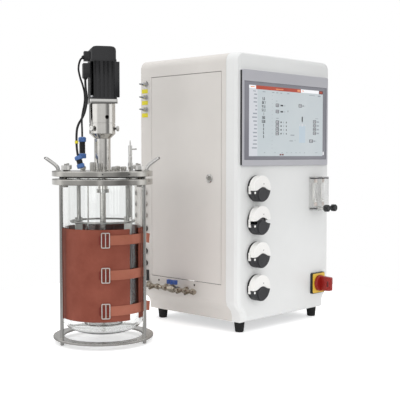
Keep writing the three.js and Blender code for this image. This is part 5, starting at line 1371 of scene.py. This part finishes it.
print("stage: flow meters and isolator")
meterForm = {
    "xs": (334, 369), "half": 14, "depth": 27, "bottom": 326.5, "top": 426.3, "bore": 4.6, "boreTop": 5.4,
    "boreLow": 350, "boreHigh": 408, "knobZ": 334, "knobRadius": 10.5, "knobNear": 47, "knobLength": 16,
}
for i, x in enumerate(meterForm["xs"], 1):
    f = meterForm
    middle = -f["depth"] / 2
    outline = rectOutline(x - f["half"], f["bottom"], x + f["half"], f["top"], 2.0, 5)
    block = stackedShape(outline, easedRings(-f["depth"], -0.3, 0.6), "y")
    bore = turnedShape([(0, f["boreLow"]), (f["bore"], f["boreLow"], 0.3),
        (f["boreTop"], f["boreHigh"], 0.3), (0, f["boreHigh"])], at=(x, middle, 0), segments=48)
    stemHole = post(4.1, -f["depth"] - 1, -f["depth"] + 9, at=(x, 0, f["knobZ"]), axis="y", segments=36)
    carvedPiece(f"meterBlock{i}", block, [bore, stemHole], "clearAcrylic", onCabinet,
        replaces=f"flow_meter_{i}")
    bits = []
    for low, high in ((f["boreHigh"] + 0.4, f["top"] - 3), (f["boreLow"] - 11, f["boreLow"] - 0.4)):
        bits.append((post(4.2, low, high, 0.4, 0.4, at=(x, middle, 0), segments=40), 0))
    backing = blockShape((x - 4.4, middle + 6.4, f["boreLow"] + 2),
        (x + 4.4, middle + 7.4, f["boreHigh"] - 2), 0.3)
    bits.append((backing, 2))
    for side in (-1, 1):
        for z in (f["top"] - 5, f["bottom"] + 5):
            bits.append((post(2.0, -f["depth"] - 0.3, -2, 0.3,
                at=(x + side * 9.6, 0, z), axis="y", segments=24), 1))
    for k in range(11):
        z = f["boreLow"] + 3 + k * 5.2
        long = 4.6 if k % 5 == 0 else 2.6
        bits.append((blockShape((x + 6.2, -f["depth"] - 0.06, z),
            (x + 6.2 + long, -f["depth"] + 0.1, z + 0.5), 0.02, 0.05), 1))
    makePiece(f"meterFittings{i}", bits, "meterMoulding greyMoulding whiteMoulding", onCabinet)
    floatShape = turnedShape(
        [(0, 0), (1.6, 1.5, 0.4), (3.6, 7, 0.3), (3.6, 9, 0.3), (2.4, 9.6), (0, 9.6)],
        at=(x, middle, f["boreLow"] + 0.3 - 0.6), segments=36)
    floatShape = (np.column_stack([floatShape[0][:, :2],
        np.maximum(floatShape[0][:, 2], f["boreLow"] + 0.3)]), floatShape[1])
    makePiece(f"meterFloat{i}", [floatShape], "polishedSteel", onCabinet, body=f"float_{i}",
        replaces=f"flow_float_{i}")
    near, reach = -f["knobNear"], -f["knobNear"] - f["knobLength"]
    grip = turnedShape(
        [(0, near), (8.6, near, 0.6), (f["knobRadius"], near - 2, 0.8), (f["knobRadius"], reach + 2.4, 1.4),
         (f["knobRadius"] - 2.6, reach + 0.3, 0.8), (4.0, reach + 0.9, 0.5), (0, reach + 0.9)],
        at=(x, 0, f["knobZ"]), axis="y", segments=120, ripple=(10, 1.3))
    stem = post(3.6, -18.5, near - 0.5, 0.2, at=(x, 0, f["knobZ"]), axis="y", segments=32)
    makePiece(f"meterKnob{i}", [(grip, 0), (stem, 1)], "glossBlack polishedSteel", onCabinet,
        body=f"knob_{i}", replaces=f"flow_knob_{i}")

switchForm = {"x": 360, "z": 106.5, "half": 31, "base": 8, "plateHalf": 29, "plate": 1.8}
f = switchForm
switchBox = stackedShape(
    rectOutline(f["x"] - f["half"], f["z"] - f["half"], f["x"] + f["half"], f["z"] + f["half"], 5, 6),
    frontEased(-f["base"], -0.3, 1.4), "y")
switchPlate = stackedShape(
    rectOutline(f["x"] - f["plateHalf"], f["z"] - f["plateHalf"], f["x"] + f["plateHalf"],
        f["z"] + f["plateHalf"], 5, 6), frontEased(-f["base"] - f["plate"], -f["base"] + 0.1, 0.4), "y")
shaftHole = post(4.5, -12, 2, at=(f["x"], 0, f["z"]), axis="y", segments=32)
carvedPiece("switchBox", switchBox, [shaftHole], "blackMoulding", onCabinet,
    replaces="isolator_base")
carvedPiece("switchPlate", switchPlate, [shaftHole], "isolatorYellow", onCabinet)
handleForm = {"near": 10.1, "disc": 10, "discRadius": 24, "halfWidth": 6.5, "halfHeight": 20, "reach": 55}
g = handleForm
handleDisc = turnedShape(
    [(0, -g["near"]), (g["discRadius"] - 0.6, -g["near"], 0.4), (g["discRadius"], -g["near"] - 0.8, 0.4),
     (g["discRadius"] - 0.6, -g["near"] - g["disc"] + 1, 1.0),
     (g["discRadius"] - 2.4, -g["near"] - g["disc"], 0.8),
     (0, -g["near"] - g["disc"])], at=(f["x"], 0, f["z"]), axis="y", segments=96)
foot = -g["near"] - g["disc"] + 1
bladeOutline = roundedLine(
    [(foot, f["z"] - g["halfHeight"] - 2), (foot, f["z"] + g["halfHeight"] + 2),
        (-g["reach"], f["z"] + g["halfHeight"], 4), (-g["reach"], f["z"] - g["halfHeight"], 4)], True, 6)
blade = stackedShape(bladeOutline, easedRings(f["x"] - g["halfWidth"], f["x"] + g["halfWidth"], 1.2),
    axis="x")
padlockSlot = blockShape((f["x"] - 9, -49, f["z"] - 9), (f["x"] + 9, -42, f["z"] + 9), 0.2, 3, axis="x")
carvedPiece("isolatorBlade", blade, [padlockSlot], "isolatorRed", onCabinet, body="isolator",
    replaces="isolator_handle")
shaft = post(4, -11, 14, 0, 0.4, at=(f["x"], 0, f["z"]), axis="y", segments=32)
makePiece("isolatorBoss", [(handleDisc, 0), (shaft, 1)], "isolatorRed darkSteel", onCabinet,
    body="isolator")

print("stage: hose fittings")
hoseForm = {
    "x": -24, "z": 106, "front": 136, "rear": 358, "radius": 6, "nutFlats": 7.8, "nut": 10,
    "nuts": (146, 176, 206, 258, 290, 322, 350), "barbs": (160, 192, 306, 336), "stubs": (191, 274, 350),
    "valve": 229, "valveRadius": 11,
}
f = hoseForm
hoseShapes = []
for y in f["nuts"]:
    hoseShapes.append(turnedShape(
        [(0, -f["nut"] / 2), (7.6, -f["nut"] / 2, 0.3), (9, -f["nut"] / 2 + 1.2), (9, f["nut"] / 2 - 1.2),
            (7.6, f["nut"] / 2, 0.3),
         (0, f["nut"] / 2)], at=(f["x"], y, f["z"]), axis="y", segments=72, flats=(6, f["nutFlats"])))
threads = [(0, f["front"])]
for k, y in enumerate(np.arange(f["front"] + 1, f["rear"] - 1, 1.1)):
    near = min(abs(y - nut) for nut in f["nuts"])
    threads.append((f["radius"] - (0.5 if k % 2 and near < 12 else 0.0) - (0.0 if near < 12 else 0.6), y))
threads.append((0, f["rear"]))
hoseShapes.append(turnedShape(threads, at=(f["x"], 0, f["z"]), axis="y", segments=40))
for y in f["barbs"]:
    start, end = np.array((f["x"], y, f["z"])), np.array((f["x"] - 19, y, f["z"] - 6))
    hoseShapes.append(alongLine(turnedShape(
        [(0, 0), (5.4, 0), (5.4, 9, 0.5), (3.2, 9.6, 0.3), (4.2, 12.6), (3.2, 12.8), (4.0, 15.6),
            (3.0, 15.8), (3.7, 18.6),
         (2.8, 18.8), (2.8, 19.8, 0.3), (1.8, 20), (1.8, 12), (0, 12)], segments=40), start, end))
for y in f["stubs"]:
    hoseShapes.append(alongLine(turnedShape(
        [(0, 0), (5, 0), (5, 18), (7.8, 18.2, 0.3), (7.8, 22.4, 0.5), (5, 22.8), (5, 23.7), (0, 23.7)],
        segments=40), (f["x"], y, f["z"]), (-0.3, y, f["z"])))
hoseShapes.append(turnedShape(
    [(0, -14), (8.4, -14, 0.4), (8.8, -8, 1), (f["valveRadius"], -6, 1.4), (f["valveRadius"], 6, 1.4),
        (8.8, 8, 1), (8.4, 14, 0.4), (0, 14)], at=(f["x"], f["valve"], f["z"]), axis="y", segments=64))
hoseShapes.append(turnedShape(
    [(0, 0), (5.5, 0), (5.5, f["valveRadius"] + 1.2, 0.4), (4.6, f["valveRadius"] + 2),
        (0, f["valveRadius"] + 2)], at=(f["x"], f["valve"], f["z"]), segments=40))
makePiece("hoseRow", hoseShapes, "nickelFitting", onCabinet, replaces="hose_manifold")

wingForm = {"y": 229, "half": 19, "height": 12.5, "bottom": 119.3, "hub": 9}
g = wingForm
half = [(3, 6), (4.3, 9), (5.2, 12), (5.4, 15), (4.9, 17.6), (3.5, 19)]
wingOutline = np.array(
    [(f["x"] + x, g["y"] + y) for x, y in half] + [(f["x"] - x, g["y"] + y) for x, y in half[::-1]]
    + [(f["x"] - x, g["y"] - y) for x, y in half] + [(f["x"] + x, g["y"] - y) for x, y in half[::-1]])
wing = stackedShape(wingOutline, easedRings(g["bottom"], g["bottom"] + g["height"], 1.2))
hub = post(6.5, g["bottom"], g["bottom"] + g["hub"], 0.5, 0.8, at=(f["x"], g["y"], 0), segments=48)
makePiece("valveWing", [wing, hub], "blueMoulding", onCabinet, body="valve",
    replaces="valve_handle")

print("stage: heater blanket")
blanketForm = {
    "inner": 105, "thickness": 3, "bottom": 67.5, "top": 302, "from": 59.3, "to": 399.5, "waviness": 0.35,
    "straps": (275.5, 187, 96), "strapWidth": 25, "strapThickness": 2, "strapFrom": 9,
    "strapTo": (76, 84, 76),
    "tails": (22, 0, 22), "rootFrom": -5.5, "rootTo": 9.4, "rootWidth": 21, "rootThickness": 1.6,
}


# The pad: a flat band carried round the jar, its outer face swelling a little by two sine waves
def blanketShape():
    f = blanketForm
    angles = np.linspace(f["from"], f["to"], 260)
    heights = np.concatenate([[f["bottom"]], np.linspace(f["bottom"] + 0.8, f["top"] - 0.8, 50), [f["top"]]])
    a, z = np.meshgrid(angles, heights, indexing="ij")
    wave = f["waviness"] * (np.sin(np.radians(a) * 7 + z * 0.02) * np.sin(z * 0.045 + 1.0) - 1)
    ease = np.minimum(1, np.minimum(a - f["from"], f["to"] - a) / 0.6)
    lip = np.where((z == f["bottom"]) | (z == f["top"]), 0.8, 0.0)
    outer = f["inner"] + f["thickness"] + wave - lip - 0.8 * (1 - ease)
    outside = around(outer, a, z)
    inside = around(f["inner"] + 0.05 + 0 * a, a, z)
    rows, columns = a.shape
    grid = np.concatenate([outside, inside[:, ::-1]], 1)
    count = 2 * columns
    points = grid.reshape(-1, 3)
    faces = [gridQuads(rows, count, False, True)]
    # the two ends are closed quad by quad between the outer and the inner face
    for row, turned in ((0, False), (rows - 1, True)):
        j = np.arange(columns - 1)
        quad = np.stack([row * count + j, row * count + j + 1, row * count + count - 2 - j,
            row * count + count - 1 - j], -1)
        faces.append(quad[:, ::-1] if turned else quad)
    arc = np.radians(a) * 0.105
    uvOut = np.stack([arc, z * 0.001], -1)
    uv = np.concatenate([uvOut, uvOut[:, ::-1]], 1).reshape(-1, 2)
    return facingOut(points, faces), uv


padShape, padUV = blanketShape()
makePiece("heaterPad", [padShape], "heaterSilicone", onVessel, replaces="heater_blanket",
    uv=padUV)


# A strap lying on the pad from its root to its end, then a free tail that leaves it in a straight line
def strapShape(height, start, end, tail=0.0, spreadOut=30, width=None, thickness=None):
    f = blanketForm
    width, thickness = width or f["strapWidth"], thickness or f["strapThickness"]
    radius = f["inner"] + f["thickness"] + thickness / 2 + 0.05
    angles = np.linspace(start, end, 50)
    path = around(radius, angles, height)
    if tail:
        x, y, _ = around(1, end)
        forward = np.array([-y, x, 0.0])
        outward = np.array([x, y, 0.0])
        turn = math.radians(spreadOut)
        direction = forward * math.cos(turn) + outward * math.sin(turn) + np.array([0, 0, -0.2])
        steps = np.linspace(0, tail, 14)[1:, None]
        path = np.concatenate([path, path[-1] + direction * steps])
    return carriedShape(flatSection(thickness, width, thickness * 0.45), path, up=(0, 0, 1))


strapShapes = []
for k, height in enumerate(blanketForm["straps"]):
    strapShapes.append((strapShape(
        height, blanketForm["strapFrom"], blanketForm["strapTo"][k], tail=blanketForm["tails"][k]), 0))
    strapShapes.append((strapShape(
        height, blanketForm["rootFrom"], blanketForm["rootTo"], width=blanketForm["rootWidth"],
        thickness=blanketForm["rootThickness"]), 1))
makePiece("heaterStraps", strapShapes, "strapSilicone strapRoot", onVessel)

# Two-slot buckles: a frame with a bar between its slots, lying on the pad
buckleForm = {"angle": 3.2, "width": 20, "height": 37, "bar": 2.6, "thickness": 2.4, "corner": 2.5}
buckles = []
for height in blanketForm["straps"]:
    f = buckleForm
    radius = blanketForm["inner"] + blanketForm["thickness"] + 2.3
    w, h = f["width"] / 2, f["height"] / 2
    frameOutline = roundedLine([(-w, -h, f["corner"]), (w, -h, f["corner"]), (w, h, f["corner"]),
        (-w, h, f["corner"])], True, 5)
    loop = np.column_stack([frameOutline[:, 0], np.full(len(frameOutline), -radius),
        frameOutline[:, 1] + height])
    buckles.append(turnedAbout(carriedShape(flatSection(f["thickness"], f["bar"], 0.6), loop, up=(0, 1, 0),
        loop=True), f["angle"]))
    bar = np.array([(0, -radius, height - h), (0, -radius, height + h)])
    bar = np.linspace(bar[0], bar[1], 6)
    buckles.append(turnedAbout(carriedShape(flatSection(f["thickness"], f["bar"], 0.6), bar, up=(0, 1, 0)),
        f["angle"]))
makePiece("heaterBuckles", buckles, "buckleNickel", onVessel)

print("stage: floor and lights")
floorForm = {"half": 0.95, "height": -0.0005, "glow": 0.22, "glowLookedAt": 0.5}
floorCorners = [(x * floorForm["half"], y * floorForm["half"], floorForm["height"]) for x,
    y in ((-1, -1), (1, -1), (1, 1), (-1, 1))]
floorMesh = bpy.data.meshes.new("floor")
floorMesh.from_pydata(floorCorners, [], [(0, 1, 2, 3)])
floorCard = grainFinish(
    "floorCard", tint(252, 252, 252), tint(250, 250, 250), (0.5, 0.6), 3.0, 0.0, Emission_Color=(1, 1, 1, 1))
# the card is lit up where it is looked at, straight or through glass, and steel sees it grey
tree = floorCard.node_tree
shader = tree.nodes["Principled BSDF"]
seen = addNode(tree, "ShaderNodeLightPath")
lookedAt = addNode(tree, "ShaderNodeMath", operation="MAXIMUM")
mirrored = addNode(tree, "ShaderNodeMath", operation="SUBTRACT", use_clamp=True)
for node, ray in ((lookedAt, "Is Camera Ray"), (mirrored, "Is Glossy Ray")):
    tree.links.new(seen.outputs[ray], node.inputs[0])
    tree.links.new(seen.outputs["Is Transmission Ray"], node.inputs[1])
glow = spread(tree, lookedAt.outputs[0], floorForm["glow"], floorForm["glowLookedAt"])
tree.links.new(glow, shader.inputs["Emission Strength"])
card = shader.inputs["Base Color"].links[0].from_socket
greyed = mixColours(tree, mirrored.outputs[0], card, tint(120, 120, 120))
tree.links.new(greyed, shader.inputs["Base Color"])
floorMesh.materials.append(floorCard)
floor = bpy.data.objects.new("floor", floorMesh)
scene.collection.objects.link(floor)

# The studio: white and dark panels stand round the object, each at an angle from the camera's direction with
# the right hand positive: a row above the horizon, another below it, and a white ceiling overhead. Steel
# shows them as bright and dark lines.
highPanels = [
    (-180, 0.55), (-160, 0.25), (-126, 0.25), (-112, 0.9), (-48, 1.0), (-32, 0.62), (30, 0.64), (48, 0.2),
    (66, 0.2), (76, 0.95), (108, 0.9), (122, 0.14), (140, 0.14), (156, 0.5), (180, 0.55)]
lowPanels = [
    (-180, 0.72), (-125, 0.72), (-104, 0.8), (-92, 0.32), (-30, 0.24), (-8, 0.22), (0, 0.6), (9, 0.2),
    (40, 0.14), (88, 0.24), (104, 0.85), (125, 0.72), (180, 0.72)]
panelStrength = 1.3
world = bpy.data.worlds.new("studio")
scene.world = world
world.use_nodes = True
tree = world.node_tree
tree.nodes.clear()
lookFrom = addNode(tree, "ShaderNodeTexCoord")
parts = addNode(tree, "ShaderNodeSeparateXYZ")
tree.links.new(lookFrom.outputs["Generated"], parts.inputs[0])
turned = addNode(tree, "ShaderNodeMapping", {"Rotation": (0, 0, math.radians(90 + cameraPlace["yaw"]))})
tree.links.new(lookFrom.outputs["Generated"], turned.inputs["Vector"])
bearing = addNode(tree, "ShaderNodeTexGradient", gradient_type="RADIAL")
tree.links.new(turned.outputs[0], bearing.inputs[0])
rows = []
for panels in (lowPanels, highPanels):
    ramp = addNode(tree, "ShaderNodeValToRGB")
    stops = ramp.color_ramp.elements
    for i, (degrees, level) in enumerate(panels):
        place = degrees / 360 + 0.5
        stop = stops[i] if i < 2 else stops.new(place)
        stop.position, stop.color = place, (level, level, level, 1)
    tree.links.new(bearing.outputs["Fac"], ramp.inputs["Fac"])
    rows.append(ramp.outputs["Color"])
walls = mixColours(tree, spread(tree, parts.outputs["Z"], 0.0, 1.0, -0.03, 0.0), *rows)
overhead = spread(tree, parts.outputs["Z"], 0.0, 1.0, 0.3, 0.7)
room = addNode(tree, "ShaderNodeBackground", {"Strength": panelStrength})
tree.links.new(mixColours(tree, overhead, walls, (0.75, 0.75, 0.76, 1)), room.inputs["Color"])
backdrop = addNode(tree, "ShaderNodeBackground", {"Color": (1, 1, 1, 1), "Strength": 1.0})
seen = addNode(tree, "ShaderNodeLightPath")
choice = addNode(tree, "ShaderNodeMixShader")
tree.links.new(seen.outputs["Is Camera Ray"], choice.inputs[0])
tree.links.new(room.outputs[0], choice.inputs[1])
tree.links.new(backdrop.outputs[0], choice.inputs[2])
tree.links.new(choice.outputs[0], addNode(tree, "ShaderNodeOutputWorld").inputs["Surface"])


# An area light at a place, aimed at the middle of the object
def softLight(name, place, size, power, aim=(0, 0, 0.38), colour=(1, 1, 1)):
    light = bpy.data.lights.new(name, "AREA")
    light.shape, light.size, light.size_y, light.energy, light.color = "RECTANGLE", size[0], size[
        1], power, colour
    lamp = bpy.data.objects.new(name, light)
    scene.collection.objects.link(lamp)
    lamp.location = place
    lamp.rotation_euler = (Vector(aim) - Vector(place)).to_track_quat("-Z", "Y").to_euler()
    lamp.visible_glossy = False
    return lamp


softLight("front", (-0.6, -3.4, 1.1), (2.4, 1.8), 18)
softLight("left", (-3.0, -0.6, 0.75), (1.6, 1.8), 15.5)
softLight("top", (0.0, 0.3, 3.0), (2.6, 2.2), 17.5)
scene.view_settings.view_transform = "Standard"
scene.view_settings.look = "None"
